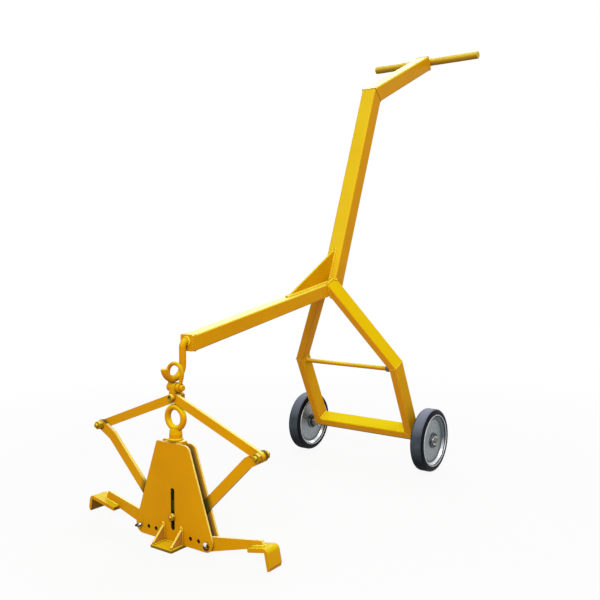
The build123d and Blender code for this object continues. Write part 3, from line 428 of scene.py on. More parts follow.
def zinc_plate(name, dark, light, turned_about=None):
    """Bright zinc plating on steel: a cool grey metal, mottled, with painted shade in its corners.

    A wheel has turning lines about its axle, and round its disc a smooth wall.
    The wall is painted bright where it looks up, below the axle, as a reflection, and dark where it looks
    down, above it, as shade.
    """
    made, tree, shader = material(name)
    place = add(tree, "TexCoord")
    # Spangle of the plating
    spangle = add(tree, "TexNoise", {"Vector": place.outputs["Object"], "Scale": 1 / (MM * ZINC_SPANGLE),
                                     "Detail": 4.0})
    shade = add(tree, "ValToRGB", {"Fac": spangle.outputs["Fac"]})
    stops(shade, [(0.3, dark), (0.7, light)])
    # Painted shade in corners, dark where little is open around
    open_to = add(tree, "AmbientOcclusion", {"Distance": MM * ZINC_SHADE_REACH}, samples=4)
    held = add(tree, "MapRange", {"Value": open_to.outputs["AO"], "From Min": 0.72, "From Max": 0.25,
                                  "To Max": 0.85})
    layers = [(held.outputs[0], linear(ZINC_CORNER_SHADE))]
    height = spangle.outputs["Fac"]
    rough = add(tree, "MapRange", {"Value": height, "To Min": 0.26, "To Max": 0.46})
    if turned_about:
        centred = add(tree, "Mapping", {"Vector": place.outputs["Object"],
                                        "Location": [-MM * v for v in turned_about]})
        flat = add(tree, "VectorMath", {0: centred.outputs[0], 1: (0, 1, 1)}, operation="MULTIPLY")
        reach = add(tree, "VectorMath", {0: flat.outputs[0]}, operation="LENGTH").outputs["Value"]
        # Lines of the spinning tool, drawn 1.5 mm apart so that they show
        lines = add(tree, "TexNoise", {"W": reach, "Scale": 1 / (MM * TOOL_LINE), "Detail": 2.0},
                    noise_dimensions="1D")
        height = lines.outputs["Fac"]
        # The wall is painted light: bright where it looks up, dark where it looks down
        wall = add(tree, "MapRange", {"Value": reach, "From Min": MM * WALL_FOOT,
                                      "From Max": MM * WALL_START})
        turn = add(tree, "SeparateXYZ", {0: place.outputs["Normal"]})
        wall_looks_up = add(tree, "MapRange", {"Value": turn.outputs["Z"], "From Min": 0.05, "From Max": 0.45})
        drawn = add(tree, "MixRGB", {"Fac": wall_looks_up.outputs[0], "Color1": linear(WALL_PAINTED_SHADE),
                                     "Color2": linear(WALL_PAINTED_HIGHLIGHT)})
        # The rolled lip is painted pale, as a highlight
        lip = add(tree, "MapRange", {"Value": reach, "From Min": MM * LIP_FOOT, "From Max": MM * LIP_START})
        rough = add(tree, "MapRange", {"Value": wall.outputs[0], "To Min": 0.48, "To Max": 0.26})
        rough = add(tree, "MapRange", {"Value": lip.outputs[0], "To Min": rough.outputs[0], "To Max": 0.5})
        # Painted shade in a ring at the foot of the wall, and a darker one in the groove behind the rolled
        # lip
        foot = add(tree, "Math", {0: reach, 1: MM * WALL_SHADE_RADIUS, 2: MM * WALL_SHADE_HALF},
                   operation="COMPARE")
        foot_shade_share = add(tree, "Math", {0: foot.outputs[0], 1: 0.6}, operation="MULTIPLY")
        groove = add(tree, "Math", {0: reach, 1: MM * GROOVE_RADIUS, 2: MM * GROOVE_HALF},
                     operation="COMPARE")
        layers += [(wall.outputs[0], drawn.outputs[0]), (lip.outputs[0], linear(LIP_PAINTED_HIGHLIGHT)),
                   (foot_shade_share.outputs[0], linear(WALL_FOOT_SHADE)), (groove.outputs[0], linear(GROOVE_SHADE))]
    bump = add(tree, "Bump", {"Strength": 0.15, "Distance": MM * ZINC_DEPTH, "Height": height})
    feed(tree, shader, {"Base Color": layered(tree, shade.outputs[0], layers), "Roughness": rough.outputs[0],
                        "Normal": bump.outputs[0], "Metallic": 1.0})
    return made


def tyre_rubber(name, dark, light, shine, top_dust_and_sheen=0.0, dull=0.0):
    """Moulded solid rubber, grained by its mould: black on the walls, and grey with dust on the tread.

    The upper part of a tread is paler, with dust and a painted sheen, and its lower part is painted darker,
    as shade.
    """
    made, tree, shader = material(name)
    place = add(tree, "TexCoord")
    # Dust in patches
    dust = add(tree, "TexNoise", {"Vector": place.outputs["Object"], "Scale": 1 / (MM * DUST_PATCH),
                                  "Detail": 5.0})
    mottle = add(tree, "MixRGB", {"Fac": dust.outputs["Fac"], "Color1": linear(dark),
                                  "Color2": linear(light)})
    layers = []
    # Dust and a painted sheen on the tread's upper part, and painted shade on its lower part
    if top_dust_and_sheen:
        turn = add(tree, "SeparateXYZ", {0: place.outputs["Normal"]})
        upper = add(tree, "MapRange", {"Value": turn.outputs["Z"], "From Min": 0.25, "From Max": 1.0,
                                       "To Max": top_dust_and_sheen})
        lower = add(tree, "MapRange", {"Value": turn.outputs["Z"], "From Min": 0.0, "From Max": -0.6,
                                       "To Max": 0.95})
        layers = [(upper.outputs[0], linear(TREAD_DUST_AND_SHEEN)), (lower.outputs[0], linear(TREAD_LOWER_SHADE))]
    # Grain of the mould, drawn at 1.2 mm so that it shows
    grain = add(tree, "TexNoise", {"Vector": place.outputs["Object"], "Scale": 1 / (MM * MOULD_GRAIN),
                                   "Detail": 3.0})
    bump = add(tree, "Bump", {"Strength": 0.12, "Distance": MM * GRAIN_DEPTH, "Height": grain.outputs["Fac"]})
    rough = add(tree, "MapRange", {"Value": dust.outputs["Fac"], "To Min": 0.34 + dull,
                                   "To Max": 0.50 + dull})
    feed(tree, shader, {"Base Color": layered(tree, mottle.outputs[0], layers), "Roughness": rough.outputs[0],
                        "Normal": bump.outputs[0], "Specular IOR Level": shine})
    return made


def black_wire():
    """Blackened spring wire: near black, with a soft sheen and fine drawing marks."""
    made, tree, shader = material("blackened_spring_wire")
    place = add(tree, "TexCoord")
    mark = add(tree, "TexNoise", {"Vector": place.outputs["Object"], "Scale": 1 / (MM * WIRE_MARK),
                                  "Detail": 3.0})
    shade = add(tree, "MixRGB", {"Fac": mark.outputs["Fac"], "Color1": linear("#0B0D0E"),
                                 "Color2": linear("#1A1D20")})
    rough = add(tree, "MapRange", {"Value": mark.outputs["Fac"], "To Min": 0.35, "To Max": 0.55})
    feed(tree, shader, {"Base Color": shade.outputs[0], "Roughness": rough.outputs[0],
                        "Specular IOR Level": 0.2})
    return made


# Where shade is painted between the plates, on the plates and on the levers: depth, low height, outer
# distance and fade
IN_PLATES = (PLATE_FACE - 0.1, 0, -4, 4)
IN_LEVERS = (LEVER_FACE + 0.3, 70, 24, 20)
# Where the levers' rims lie in the shade of the outer pivots: place and radius
AT_PIVOT = (OUTER_PIVOT_X, OUTER_PIVOT_Z, 20)

ENAMEL = yellow_enamel("sprayed_chrome_yellow_enamel")
FRAME_ENAMEL = yellow_enamel("frame_chrome_yellow_enamel", painted_light=FRAME_PAINTED_LIGHT, corner=0.2)
LEG_ENAMEL = yellow_enamel("leg_chrome_yellow_enamel", painted_light=LEG_PAINTED_LIGHT, corner=0.2, shine=0.008, dull=0.35)
LINK_ENAMEL = yellow_enamel("link_chrome_yellow_enamel", painted_light=LINK_PAINTED_LIGHT)
CLAW_ENAMEL = yellow_enamel("claw_chrome_yellow_enamel", painted_light=CLAW_PAINTED_LIGHT, inward_shade=0.85)
HOOK_ENAMEL = yellow_enamel("hook_chrome_yellow_enamel", painted_light=CLAW_PAINTED_LIGHT)
FOOT_ENAMEL = yellow_enamel("foot_chrome_yellow_enamel", painted_light=FOOT_PAINTED_LIGHT, corner=0.6)
WEB_ENAMEL = yellow_enamel("foot_web_chrome_yellow_enamel", painted_light=WEB_PAINTED_LIGHT, corner=0.6)
BOLT_ENAMEL = yellow_enamel("bolt_chrome_yellow_enamel", painted_light=BOLT_PAINTED_LIGHT, corner=0.95)
BEAD_ENAMEL = yellow_enamel("pooled_chrome_yellow_enamel", painted_light=BEAD_PAINTED_LIGHT, corner=0.0)
SEAM_ENAMEL = yellow_enamel("thin_chrome_yellow_enamel_on_primer", painted_light=SEAM_DARK_AND_PAINTED_LIGHT, corner=0.0)
# Plates, head block and levers are painted dark between the plates, as shade
PLATE_ENAMEL = yellow_enamel("plate_chrome_yellow_enamel", painted_light=PLATE_PAINTED_LIGHT, gap_shade=IN_PLATES, gap_shade_colour="#43340F")
BLOCK_ENAMEL = yellow_enamel("head_block_chrome_yellow_enamel", painted_light=LINK_PAINTED_LIGHT, corner=0.3, gap_shade=IN_PLATES,
                             gap_shade_colour="#2E2710")
GUSSET_ENAMEL = yellow_enamel("gusset_chrome_yellow_enamel", corner=0.2, shine=0.008, dull=0.35)
REAR_ENAMEL = yellow_enamel("rear_plate_chrome_yellow_enamel", painted_light=PLATE_PAINTED_LIGHT, gap_shade=IN_PLATES,
                            gap_shade_colour="#8F6C38")
LEVER_ENAMEL = yellow_enamel("lever_chrome_yellow_enamel", painted_light=LEVER_PAINTED_LIGHT, gap_shade=IN_LEVERS, gap_shade_colour="#4A3F14",
                             joint=AT_PIVOT)
GRIP_ENAMEL = yellow_enamel("hand_worn_chrome_yellow_enamel", painted_light=GRIP_PAINTED_LIGHT, held=0.08)
SPUN_ZINC = zinc_plate("spun_zinc_plated_steel", "#80868A", "#989EA0", AXLE)
PIN_ZINC = zinc_plate("polished_zinc_plated_pin", "#D2D5D6", "#EEF0F0")
BRIGHT_ZINC = zinc_plate("bright_zinc_plated_steel", "#A3A6A6", "#C6C8C6")
# The hubs' zinc is painted dark, as shade
SHADED_HUB_ZINC = zinc_plate("zinc_plated_hub_painted_dark", "#3E4347", "#6C7276")
DULL_ZINC = zinc_plate("dulled_zinc_plated_steel", "#4C4B45", "#75746A")
RUBBER = tyre_rubber("black_tyre_rubber", "#0A0C0E", "#15181B", 0.06)
TREAD_RUBBER = tyre_rubber("tread_rubber_dust_and_painted_light", "#2F373C", "#4B545D", 0.1, top_dust_and_sheen=0.8, dull=0.4)
BLACK_WIRE = black_wire()

# Finish of each slot, and of the solids that differ from their slot's
SLOT_FINISH = {"yellow_paint": ENAMEL, "zinc_steel": BRIGHT_ZINC, "dark_steel": BLACK_WIRE,
               "tyre_rubber": RUBBER}
SPECIAL = {}
for finish, named in (
        (FRAME_ENAMEL, ("mast", "handle_stem", "stem_end_plate", "lifting_arm", "arm_end_block", "tie_rod")),
        (LEG_ENAMEL, ("upper_leg_left", "upper_leg_right", "lower_leg_left", "lower_leg_right",
                      "cross_member")),
        (GRIP_ENAMEL, ("handle_bar", "handle_bar_caps")),
        (GUSSET_ENAMEL, ("gusset",)),
        (HOOK_ENAMEL, ("hook", "shackle_bow", "shackle_pin", "lifting_block")),
        (LINK_ENAMEL, ("link_left", "link_right")),
        (LEVER_ENAMEL, ("lever_left", "lever_right")),
        (CLAW_ENAMEL, ("claw_left", "claw_right")),
        (PLATE_ENAMEL, ("front_plate", "stop_sleeve")),
        (REAR_ENAMEL, ("rear_plate",)),
        (BLOCK_ENAMEL, ("head_block",)),
        (FOOT_ENAMEL, ("foot_plate",)),
        (WEB_ENAMEL, ("foot_gussets",)),
        (SHADED_HUB_ZINC, ("hub_left", "hub_right")),
        (DULL_ZINC, ("axle",)),
        (PIN_ZINC, ("adjusting_pins",))):
    for node in named:
        SPECIAL[node] = finish
for part in frame["record"]["subparts"]:
    solid = frame["nodes"][part["node"]]
    solid.data.materials.clear()
    solid.data.materials.append(SPECIAL.get(part["node"], SLOT_FINISH[part["material_slot"]]))


# Shaping pieces

def facing(place, axis):
    """Turns local Z to an axis, and moves the origin to a place."""
    return Matrix.Translation(place) @ Vector(axis).to_track_quat("Z", "Y").to_matrix().to_4x4()


def joined(*shapes):
    """Several shapes as one."""
    whole = bmesh.new()
    for shape in shapes:
        held = bpy.data.meshes.new("held")
        shape.to_mesh(held)
        shape.free()
        whole.from_mesh(held)
        bpy.data.meshes.remove(held)
    return whole


def piece(name, shape, finish, body, slot, *replaced, crease=CREASE):
    """A finished piece in metres, creased above an angle, which rides on a body and may stand for solids."""
    bmesh.ops.remove_doubles(shape, verts=shape.verts, dist=0.001)
    bmesh.ops.recalc_face_normals(shape, faces=shape.faces)
    bmesh.ops.scale(shape, vec=(MM, MM, MM), verts=shape.verts)
    mesh = bpy.data.meshes.new(name)
    shape.to_mesh(mesh)
    shape.free()
    mesh.shade_smooth()
    mesh.set_sharp_from_angle(angle=radians(crease))
    mesh.materials.append(finish)
    made = bpy.data.objects.new(name, mesh)
    bpy.context.scene.collection.objects.link(made)
    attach(made, body)
    if replaced:
        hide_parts(*replaced)
    return made


def turned(profile, place, axis, steps, closed=True):
    """A shape turned about an axis from pairs of distance along it and radius."""
    shape = bmesh.new()
    points = [shape.verts.new((radius, 0, along)) for along, radius in profile]
    for a, b in zip(points, points[1:] + points[:1] if closed else points[1:]):
        shape.edges.new((a, b))
    bmesh.ops.spin(shape, geom=shape.verts[:] + shape.edges[:], cent=(0, 0, 0), axis=(0, 0, 1),
                   dvec=(0, 0, 0), angle=2 * pi, steps=steps, use_merge=True, use_duplicate=False)
    bmesh.ops.remove_doubles(shape, verts=shape.verts, dist=0.001)
    bmesh.ops.transform(shape, matrix=facing(place, axis), verts=shape.verts)
    return shape


def hexagon(place, axis, flats, height, chamfer=radians(30)):
    """A hexagon nut or bolt head that stands on a place, with its corners cut back at both ends."""
    shape = bmesh.new()
    to_corner = flats / 2 / cos(pi / 6)
    bmesh.ops.create_cone(shape, cap_ends=True, segments=6, radius1=to_corner, radius2=to_corner,
                          depth=height, matrix=Matrix.Translation((0, 0, height / 2)))
    corners = [Vector((v.co.x, v.co.y, 0)).normalized() for v in shape.verts if v.co.z > height / 2]
    for end, way in ((0, -1), (height, 1)):
        for corner in corners:
            # The cut starts just outside the flats
            start = corner * flats / 2 * 1.01 + Vector((0, 0, end))
            slope = corner * sin(chamfer) + Vector((0, 0, way * cos(chamfer)))
            bmesh.ops.bisect_plane(shape, geom=shape.verts[:] + shape.edges[:] + shape.faces[:],
                                   plane_co=start, plane_no=slope, clear_outer=True)
            bmesh.ops.holes_fill(shape, edges=[e for e in shape.edges if e.is_boundary])
    bmesh.ops.transform(shape, matrix=facing(place, axis), verts=shape.verts)
    return shape


def screw_end(place, axis, radius, length, pitch=1.75, depth=0.6):
    """The end of a screw that stands out of its nut: thread drawn as rings, and a chamfered tip."""
    root = radius - depth
    profile = [(-1, 0), (-1, root)]
    along = 0.0
    while along + pitch < length - 0.5:
        profile += [(along, root), (along + pitch / 2, radius)]
        along += pitch
    profile += [(along, root), (length, root - depth), (length, 0)]
    return turned(profile, place, axis, 24, closed=False)


def socket_head(place, axis, height, radius=9.6, edge=1.2, socket=5.2, depth=5):
    """A round screw head with turned edges and a round socket in its top, which stands on a place."""
    profile = [(0, 0), (0, radius), (height - edge, radius), (height, radius - edge), (height, socket),
               (height - depth, socket - 0.3), (height - depth - 1, 0)]
    return turned(profile, place, axis, 36, closed=False)


def washer(place, axis, bore, radius, height, roll=0.5):
    """A flat washer with a rolled rim."""
    profile = [(0, bore), (0, radius - roll), (height / 2, radius), (height, radius - roll), (height, bore)]
    return turned(profile, place, axis, 40)


# A weld bead: length of a ripple, swell over its thirds, slow waver of the hand, and share left at the ends
RIPPLE = 4.5
RIPPLE_SWELL = (0.13, 0.02, -0.12)
WAVER = 0.07
BEAD_END = 0.45


def bead(path, radius, closed=False):
    """A weld bead along a path: overlapping ripples, a little uneven, with rounded ends."""
    path = [Vector(p) for p in path] + ([Vector(path[0])] if closed else [])
    stations = []
    for a, b in zip(path, path[1:]):
        count = max(2, round((b - a).length / (RIPPLE / 3)))
        stations += [(a.lerp(b, i / count), (b - a).normalized()) for i in range(count)]
    if not closed:
        stations.append((path[-1], (path[-1] - path[-2]).normalized()))
    shape = bmesh.new()
    rings = []
    for i, (place, way) in enumerate(stations):
        swell = 1 + RIPPLE_SWELL[i % 3] + WAVER * sin(i * 1.7) * sin(i * 0.31)
        if not closed and i in (0, len(stations) - 1):
            swell = BEAD_END
        ring = bmesh.ops.create_circle(shape, segments=10, radius=radius * swell, matrix=facing(place, way))
        rings.append(list({edge for v in ring["verts"] for edge in v.link_edges}))
    for a, b in zip(rings, rings[1:] + rings[:1] if closed else rings[1:]):
        bmesh.ops.bridge_loops(shape, edges=a + b)
    if not closed:
        bmesh.ops.holes_fill(shape, edges=[e for e in shape.edges if e.is_boundary])
    return shape


def bead_on(member, places, radius, closed=False):
    """A weld bead through places on one member of the trolley or on the tong."""
    return bead([member(*place) for place in places], radius, closed)


def circle(place, radius, first, second, count):
    """Places on a circle that starts in a first direction and turns to a second."""
    angles = [2 * pi * i / count for i in range(count)]
    return [place + radius * (cos(a) * first + sin(a) * second) for a in angles]


# Wheels: pressed rims and moulded tyres, in sections of distance from the wheel's middle and radius
# Front of one shell from the hub out: crown, shallow cone, rounded foot, sloping wall, groove and rolled lip
RIM_FACE = [(13.0, 24.5), (12.6, 27), (11.8, 34), (10.6, 48), (9.9, 60), (9.6, 68), (9.8, 71.0), (10.6, 72.8),
            (12.0, 74.2), (16.4, 77.8), (17.2, 78.4), (17.2, 79.3), (19.6, 79.7), (21.8, 80.2), (22.4, 81.2),
            (22.2, 82.4), (21.0, 83.2)]
# Back of the shell, from the lip in
RIM_BACK = [(17.2, 81.7), (15.8, 80.6), (10.4, 75.9), (8.4, 74.2), (7.4, 71.8), (7.2, 68), (7.4, 60),
            (8.2, 48), (9.4, 34), (10.0, 27), (10.0, 24.5)]
# Half of the tyre: flat tread with a fine groove, round shoulder, a step and a bead against the rim
TYRE_HALF = [(0, 100), (13.2, 100), (13.6, 99.3), (14.2, 99.3), (14.6, 99.8), (17.0, 98.9), (19.2, 97.2),
             (20.9, 94.9), (22.0, 92.0), (22.5, 89.2), (21.7, 88.5), (21.7, 87.2), (22.2, 86.6), (21.8, 84.6),
             (21.0, 83.2), (20.2, 82.4), (18.8, 82.1), (17.2, 82.0), (15.6, 81.2), (9.8, 76.3), (7.2, 74.8),
             (4.8, 74.2)]
TYRE = TYRE_HALF + [(-x, radius) for x, radius in TYRE_HALF[:0:-1]]
WHEEL_STEPS = 96
for side, way in (("left", -1), ("right", 1)):
    hub = Vector((way * WHEEL_X, AXLE.y, AXLE.z))
    shells = [turned(RIM_FACE + RIM_BACK, hub, face * ACROSS, WHEEL_STEPS) for face in (-1, 1)]
    piece(f"pressed_rim_{side}", joined(*shells), SPUN_ZINC, f"wheel_{side}", "zinc_steel", f"rim_{side}")
    tyre = piece(f"moulded_tyre_{side}", turned(TYRE, hub, ACROSS, WHEEL_STEPS), RUBBER, f"wheel_{side}",
                 "tyre_rubber", f"tyre_{side}")
    tyre.data.materials.append(TREAD_RUBBER)
    for patch in tyre.data.polygons:
        patch.material_index = int((patch.center - MM * hub).yz.length > MM * TREAD_RADIUS)

# Axle washers outside the bearings
washers = [washer(AXLE + way * AXLE_WASHER_X * ACROSS, way * ACROSS, bore=10.05, radius=16, height=2.5)
           for way in (-1, 1)]
piece("axle_washers_rolled", joined(*washers), BRIGHT_ZINC, "trolley", "zinc_steel", "axle_washers")

# Pair of lock nuts on the tie rod, stacked in from the right-hand leg with a washer between
tie = on_frame(0, TIE_HEIGHT, 0)
outer_nut_x = LEG_INNER - TIE_OUTER_NUT
washer_x = outer_nut_x - TIE_WASHER
inner_nut_x = washer_x - TIE_INNER_NUT
stack = [hexagon(tie + inner_nut_x * ACROSS, ACROSS, TIE_NUT_FLATS, TIE_INNER_NUT),
         washer(tie + washer_x * ACROSS, ACROSS, bore=TIE_RADIUS, radius=8, height=TIE_WASHER),
         hexagon(tie + outer_nut_x * ACROSS, ACROSS, TIE_NUT_FLATS, TIE_OUTER_NUT)]
piece("tie_rod_lock_nuts", joined(*stack), DULL_ZINC, "trolley", "zinc_steel", "tie_rod_nut",
      crease=HEX_CREASE)


# Tong bolts: the top bolt and the stop are put in from the front, the outer bolts from behind

def pivot(name, spot, way, body, bolt_node, nut_node, flats, radius, face, head, nut, tail, stud=0,
          socket=False):
    """A painted bolt through the tong, its head on the side a direction points to and its nut on the other.

    Head and nut sit on faces equally far from the tong's middle, and a tail stands out of the nut.
    A stud has a nut welded on for a head, with a screw end that stands out of it.
    """
    head_at, nut_at = [on_tong(*spot, 0) + face * turn * way for turn in (1, -1)]
    top = socket_head(head_at, way, head) if socket else hexagon(head_at, way, flats, head)
    if stud:
        top = joined(top, screw_end(head_at + head * way, way, radius, stud))
    length = 2 * face + 0.5
    shank = turned([(0, 0), (0, radius), (length, radius), (length, 0)], head_at, -way, 32, closed=False)
    end = screw_end(nut_at - nut * way, -way, radius, tail)
    piece(f"{name}_bolt", joined(top, shank, end), BOLT_ENAMEL, body, "yellow_paint", bolt_node,
          crease=HEX_CREASE)
    piece(f"{name}_nut", hexagon(nut_at, -way, flats, nut), BOLT_ENAMEL, body, "yellow_paint", nut_node,
          crease=HEX_CREASE)


def washer_pair(spot, face, bore, radius, height):
    """Washers on the front and on the back of the tong, at a place."""
    return joined(*[washer(on_tong(*spot, turn * face), (0, turn, 0), bore, radius, height)
                    for turn in (-1, 1)])


pivot("top_pivot", TOP_PIVOT, FRONT, "tong_head", "top_bolt", "top_nut", flats=18, radius=PIVOT_RADIUS,
      face=13, head=7.5, nut=10, tail=3, socket=True)
for side, other, way in (("left", "right", -1), ("right", "left", 1)):
    spot = (way * OUTER_PIVOT_X, OUTER_PIVOT_Z)
    body = f"tong_lever_{other}"
    pivot(f"{side}_pivot", spot, -FRONT, body, f"outer_bolt_{side}", f"outer_nut_{side}", flats=19,
          radius=PIVOT_RADIUS, face=LEVER_FACE + PIVOT_WASHER, head=7.5, nut=10, tail=6)
    piece(f"{side}_pivot_washers", washer_pair(spot, LEVER_FACE, PIVOT_RADIUS, 12, PIVOT_WASHER), BOLT_ENAMEL,
          body, "yellow_paint", f"outer_washers_{side}")
pivot("stop", STOP, FRONT, "tong_body", "stop_bolt", "stop_nut", flats=15, radius=STOP_RADIUS,
      face=PLATE_FACE + STOP_WASHER, head=6.4, nut=8, tail=3, stud=4)
piece("stop_washers_rolled", washer_pair(STOP, PLATE_FACE, STOP_RADIUS, 9, STOP_WASHER), BOLT_ENAMEL,
      "tong_body", "yellow_paint", "stop_washers")

# Weld beads of the trolley
beads = []
# Gusset to mast and to arm, each run round the end of the plate
side_x = GUSSET_HALF + OFF
mast_face = MAST_HALF + OFF
gusset_top = ARM_UP_MAST + GUSSET_WELD_UP
beads.append(bead_on(on_mast, [(-side_x, ARM_UP_MAST + 2, mast_face), (-side_x, gusset_top, mast_face),
                               (0, gusset_top + 4, mast_face), (side_x, gusset_top, mast_face),
                               (side_x, ARM_UP_MAST + 2, mast_face)], radius=4.0))
beads.append(bead_on(on_arm, [(-side_x, 4, OFF), (-side_x, GUSSET_WELD_ALONG, OFF),
                              (0, GUSSET_WELD_ALONG + 5, OFF), (side_x, GUSSET_WELD_ALONG, OFF),
                              (side_x, 4, OFF)], radius=4.0))
# Arm to mast
beads.append(bead_on(on_mast, [(-ARM_HALF, OFF, mast_face), (-ARM_HALF, ARM_UP_MAST + OFF, mast_face),
                               (ARM_HALF, ARM_UP_MAST + OFF, mast_face), (ARM_HALF, OFF, mast_face)],
                     radius=2.8))
for way in (-1, 1):
    arm_side = way * (ARM_HALF + OFF)
    mast_side = way * (MAST_HALF + OFF)
    inner = way * LEG_INNER
    outer = way * FRAME_HALF
    # Leg to arm and mast, up its front and over its top, and another run under it
    start = (arm_side, LEG_UNDER_ARM, LEG_FRONT + 0.5)
    beads.append(bead_on(on_frame, [start, (arm_side, LEG_OVER_ARM, LEG_FRONT - OFF),
                                    (arm_side, LEG_OVER_ARM, LEAVES_ARM),
                                    (mast_side, LEG_OVER_MAST, REACHES_MAST),
                                    (mast_side, LEG_OVER_MAST, OFF - LEG_FRONT)], radius=2.8))
    beads.append(bead_on(on_frame, [start, (arm_side, LEG_UNDER_ARM - 0.5, -8)], radius=2.5))
    # Knee mitre, ground nearly flush
    beads.append(bead_on(on_frame, [(inner, KNEE_INNER, LEG_FRONT), (outer, KNEE_OUTER, LEG_FRONT),
                                    (outer, KNEE_OUTER, -LEG_FRONT), (inner, KNEE_INNER, -LEG_FRONT)],
                         radius=1.2, closed=True))
    # Bottom corner: a full bead inside, a flush one across the mitre
    beads.append(bead_on(on_frame, [(inner - way * OFF, CROSS_TOP + OFF, LEG_FRONT - 2),
                                    (inner - way * OFF, CROSS_TOP + OFF, 2 - LEG_FRONT)], radius=2.8))
    beads.append(bead_on(on_frame, [(inner, CROSS_TOP, LEG_FRONT), (outer, CROSS_FOOT, LEG_FRONT),
                                    (outer, CROSS_FOOT, -LEG_FRONT), (inner, CROSS_TOP, -LEG_FRONT)],
                         radius=1.2))
# Mitre of mast and stem, ground flush, with the primer brown along it
mitre = (MAST_UP + STEM_OUT).normalized()
mitre_rise = MAST_HALF / cos(MAST_UP.angle(STEM_OUT) / 2) * mitre.cross(ACROSS)
corners = [MAST_HEAD + x * MAST_HALF * ACROSS + up * mitre_rise for x, up in SQUARE]
seam = bead(corners, radius=1.0, closed=True)
piece("mitre_seam", seam, SEAM_ENAMEL, "trolley", "yellow_paint")
# Stem plate and handle bar
beads.append(bead_on(on_stem, [(x * MAST_HALF, STEM_LENGTH, up * MAST_HALF) for x, up in SQUARE], radius=1.2,
                     closed=True))
for way in (-1, 1):
    ends = [(x, STEM_LENGTH + STEM_PLATE + 2 * OFF, way * BAR_WELD_RISE)
            for x in (2 - MAST_HALF, MAST_HALF - 2)]
    beads.append(bead_on(on_stem, ends, radius=3.2))
# Arm end block and hook
end_top = on_arm(0, ARM_LENGTH, 0).z
end_foot = end_top - ARM_END_HEIGHT
corners = [(x, ARM_END_Y, z) for x, z in ((-ARM_HALF, end_top), (ARM_HALF, end_top), (ARM_HALF, end_foot),
                                          (-ARM_HALF, end_foot))]
collar = bead(corners, radius=0.9, closed=True)
piece("arm_end_weld_bead", collar, ENAMEL, "trolley", "yellow_paint")
hook_root = Vector((0, ARM_END_Y - ARM_BLOCK, HOOK_ROOT_HEIGHT))
beads.append(bead(circle(hook_root, HOOK_WELD_RADIUS, ACROSS, UP, 16), radius=2.6, closed=True))
# Tie rod to the left-hand leg, and stitches along the axle
tie_root = tie - (LEG_INNER - 0.8) * ACROSS
beads.append(bead(circle(tie_root, TIE_RADIUS + OFF, FRAME_UP, FRAME_FRONT, 12), radius=1.8, closed=True))
for x in STITCH_X:
    for way in (-1, 1):
        ends = [(x + along, STITCH_HEIGHT, way * STITCH_OUT) for along in (-STITCH_HALF, STITCH_HALF)]
        beads.append(bead_on(on_frame, ends, radius=2.6))
piece("trolley_weld_beads", joined(*beads), BEAD_ENAMEL, "trolley", "yellow_paint")

# Weld beads of the tong body: foot gussets, plates on the foot, and head block
beads, starts = [], []
foot_top = FOOT_THICKNESS + OFF
for turn in (-1, 1):
    plate = turn * (PLATE_FACE + OFF)
    corner = turn * (PLATE_FACE + 1.5)
    end = turn * FOOT_GUSSET_END
    for x in (-FOOT_GUSSET_X, FOOT_GUSSET_X):
        left, right = x - side_x, x + side_x
        beads.append(bead_on(on_tong, [(left, foot_top, end), (left, foot_top, corner),
                                       (left, FOOT_GUSSET_TOP - 2, plate), (x, FOOT_GUSSET_TOP + 2, plate),
                                       (right, FOOT_GUSSET_TOP - 2, plate), (right, foot_top, corner),
                                       (right, foot_top, end)], radius=1.9))
        # Start of the run at the top of the gusset
        starts.append(bead_on(on_tong, [(x - 2, FOOT_GUSSET_TOP + 1, corner),
                                        (x + 2, FOOT_GUSSET_TOP + 3, corner)], radius=3.8))
    beads.append(bead_on(on_tong, [(-FOOT_WELD_HALF, foot_top, plate), (FOOT_WELD_HALF, foot_top, plate)],
                         radius=1.8))
    starts.append(bead_on(on_tong, [(-HEAD_BLOCK_HALF, PLATE_TOP + OFF, turn * HEAD_BLOCK_BACK),
                                    (HEAD_BLOCK_HALF, PLATE_TOP + OFF, turn * HEAD_BLOCK_BACK)], radius=1.4))
piece("foot_weld_beads", joined(*beads), ENAMEL, "tong_body", "yellow_paint")
piece("tong_body_weld_beads", joined(*starts), BEAD_ENAMEL, "tong_body", "yellow_paint")

# Weld beads between each lever and its claw: along both sides of the lever's end, and across its tip
# Each claw has its side, its lever's layer, where its tail starts, the tail's slope, and the length welded
for side, way, layer, x, z, rise, length in (("left", -1, LEVER_LAYER, 208, 50.3, 10.5, 50),
                                             ("right", 1, -LEVER_LAYER, 242, 52.5, 12, 34)):
    run = []
    tip_z = z + length * tan(radians(rise))
    for turn in (-1, 1):
        back = layer + turn * (LEVER_HALF + OFF)
        run.append(bead_on(on_tong, [(way * (x + 3), z + 1.4, back), (way * (x + length), tip_z + 0.8, back)],
                           radius=2.6))
    ends = [(way * (x + length + 1.5), tip_z + 1, layer + turn * LEVER_HALF) for turn in (-1, 1)]
    run.append(bead_on(on_tong, ends, radius=2.6))
    piece(f"claw_{side}_weld_beads", joined(*run), BEAD_ENAMEL, f"tong_lever_{side}", "yellow_paint")


# Floor, light and camera, in metres and watts

def shows_backdrop(tree):
    """1 for rays that show the white backdrop: from the camera, off gloss and through glass."""
    path = add(tree, "LightPath")
    seen = add(tree, "Math", {0: path.outputs["Is Camera Ray"], 1: path.outputs["Is Glossy Ray"]},
               operation="MAXIMUM")
    seen = add(tree, "Math", {0: seen.outputs[0], 1: path.outputs["Is Transmission Ray"]},
               operation="MAXIMUM")
    return seen.outputs[0]


FLOOR_HALF = 14
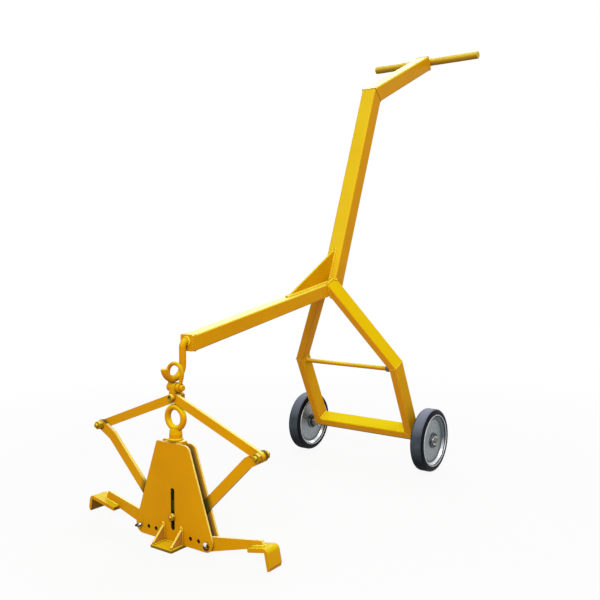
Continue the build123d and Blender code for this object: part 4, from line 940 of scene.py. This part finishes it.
# The floor's white share by the trolley. It rises to all white with distance, so the floor's end is unseen
FLOOR_GLOW = 0.91
FADE_NEAR = 0.9
FADE_FAR = 2.2
floor_shape = bmesh.new()
bmesh.ops.create_grid(floor_shape, x_segments=1, y_segments=1, size=FLOOR_HALF)
floor_mesh = bpy.data.meshes.new("floor")
floor_shape.to_mesh(floor_mesh)
floor_shape.free()
floor = bpy.data.objects.new("floor", floor_mesh)
bpy.context.scene.collection.objects.link(floor)
white, tree, shader = material("white_studio_floor")
feed(tree, shader, {"Base Color": linear("#CDCDCB"), "Roughness": 0.9, "Specular IOR Level": 0.0})
glow = add(tree, "Emission", {"Color": (1, 1, 1, 1), "Strength": 1.0})
place = add(tree, "TexCoord")
reach = add(tree, "VectorMath", {0: place.outputs["Object"]}, operation="LENGTH")
fade = add(tree, "MapRange", {"Value": reach.outputs["Value"], "From Min": FADE_NEAR, "From Max": FADE_FAR,
                              "To Min": FLOOR_GLOW})
share = add(tree, "Math", {0: shows_backdrop(tree), 1: fade.outputs[0]}, operation="MULTIPLY")
blend = add(tree, "MixShader", {0: share.outputs[0], 1: shader.outputs[0], 2: glow.outputs[0]})
feed(tree, tree.nodes["Material Output"], {"Surface": blend.outputs[0]})
floor_mesh.materials.append(white)

world = bpy.data.worlds.new("studio")
bpy.context.scene.world = world
world.use_nodes = True
tree = world.node_tree
ambient = add(tree, "Background", {"Color": (1, 1, 1, 1), "Strength": 0.5})
backdrop = add(tree, "Background", {"Color": (1, 1, 1, 1), "Strength": 1.0})
blend = add(tree, "MixShader", {0: shows_backdrop(tree), 1: ambient.outputs[0], 2: backdrop.outputs[0]})
feed(tree, tree.nodes["World Output"], {"Surface": blend.outputs[0]})


def softbox(name, place, target, size, watts):
    """A large rectangular studio lamp aimed at a point, out of the camera's sight."""
    lamp = bpy.data.lights.new(name, "AREA")
    lamp.shape = "RECTANGLE"
    lamp.size, lamp.size_y = size
    lamp.energy = watts
    made = bpy.data.objects.new(name, lamp)
    made.location = place
    made.rotation_euler = (Vector(target) - Vector(place)).to_track_quat("-Z", "Y").to_euler()
    made.visible_camera = False
    bpy.context.scene.collection.objects.link(made)


softbox("key_softbox", place=(1.7, -3.6, 2.6), target=(0, -0.2, 0.5), size=(1.5, 1.5), watts=116)
softbox("side_softbox", place=(3.0, 0.1, 2.9), target=(0, 0.1, 0.3), size=(1.0, 1.6), watts=24)
softbox("back_softbox", place=(-2.1, 4.4, 3.2), target=(0, -0.2, 0.5), size=(6.9, 2.9), watts=205)

# The photograph's camera, fitted to the straight edges of the frame
camera = bpy.data.objects.new("camera", bpy.data.cameras.new("camera"))
camera.data.sensor_width = 36
camera.data.lens = 44.95
camera.location = (1.2778, -1.91595, 0.7192)
camera.rotation_euler = (radians(85.97), 0, radians(35.50))
bpy.context.scene.collection.objects.link(camera)
bpy.context.scene.camera = camera
bpy.context.scene.view_settings.view_transform = "Standard"
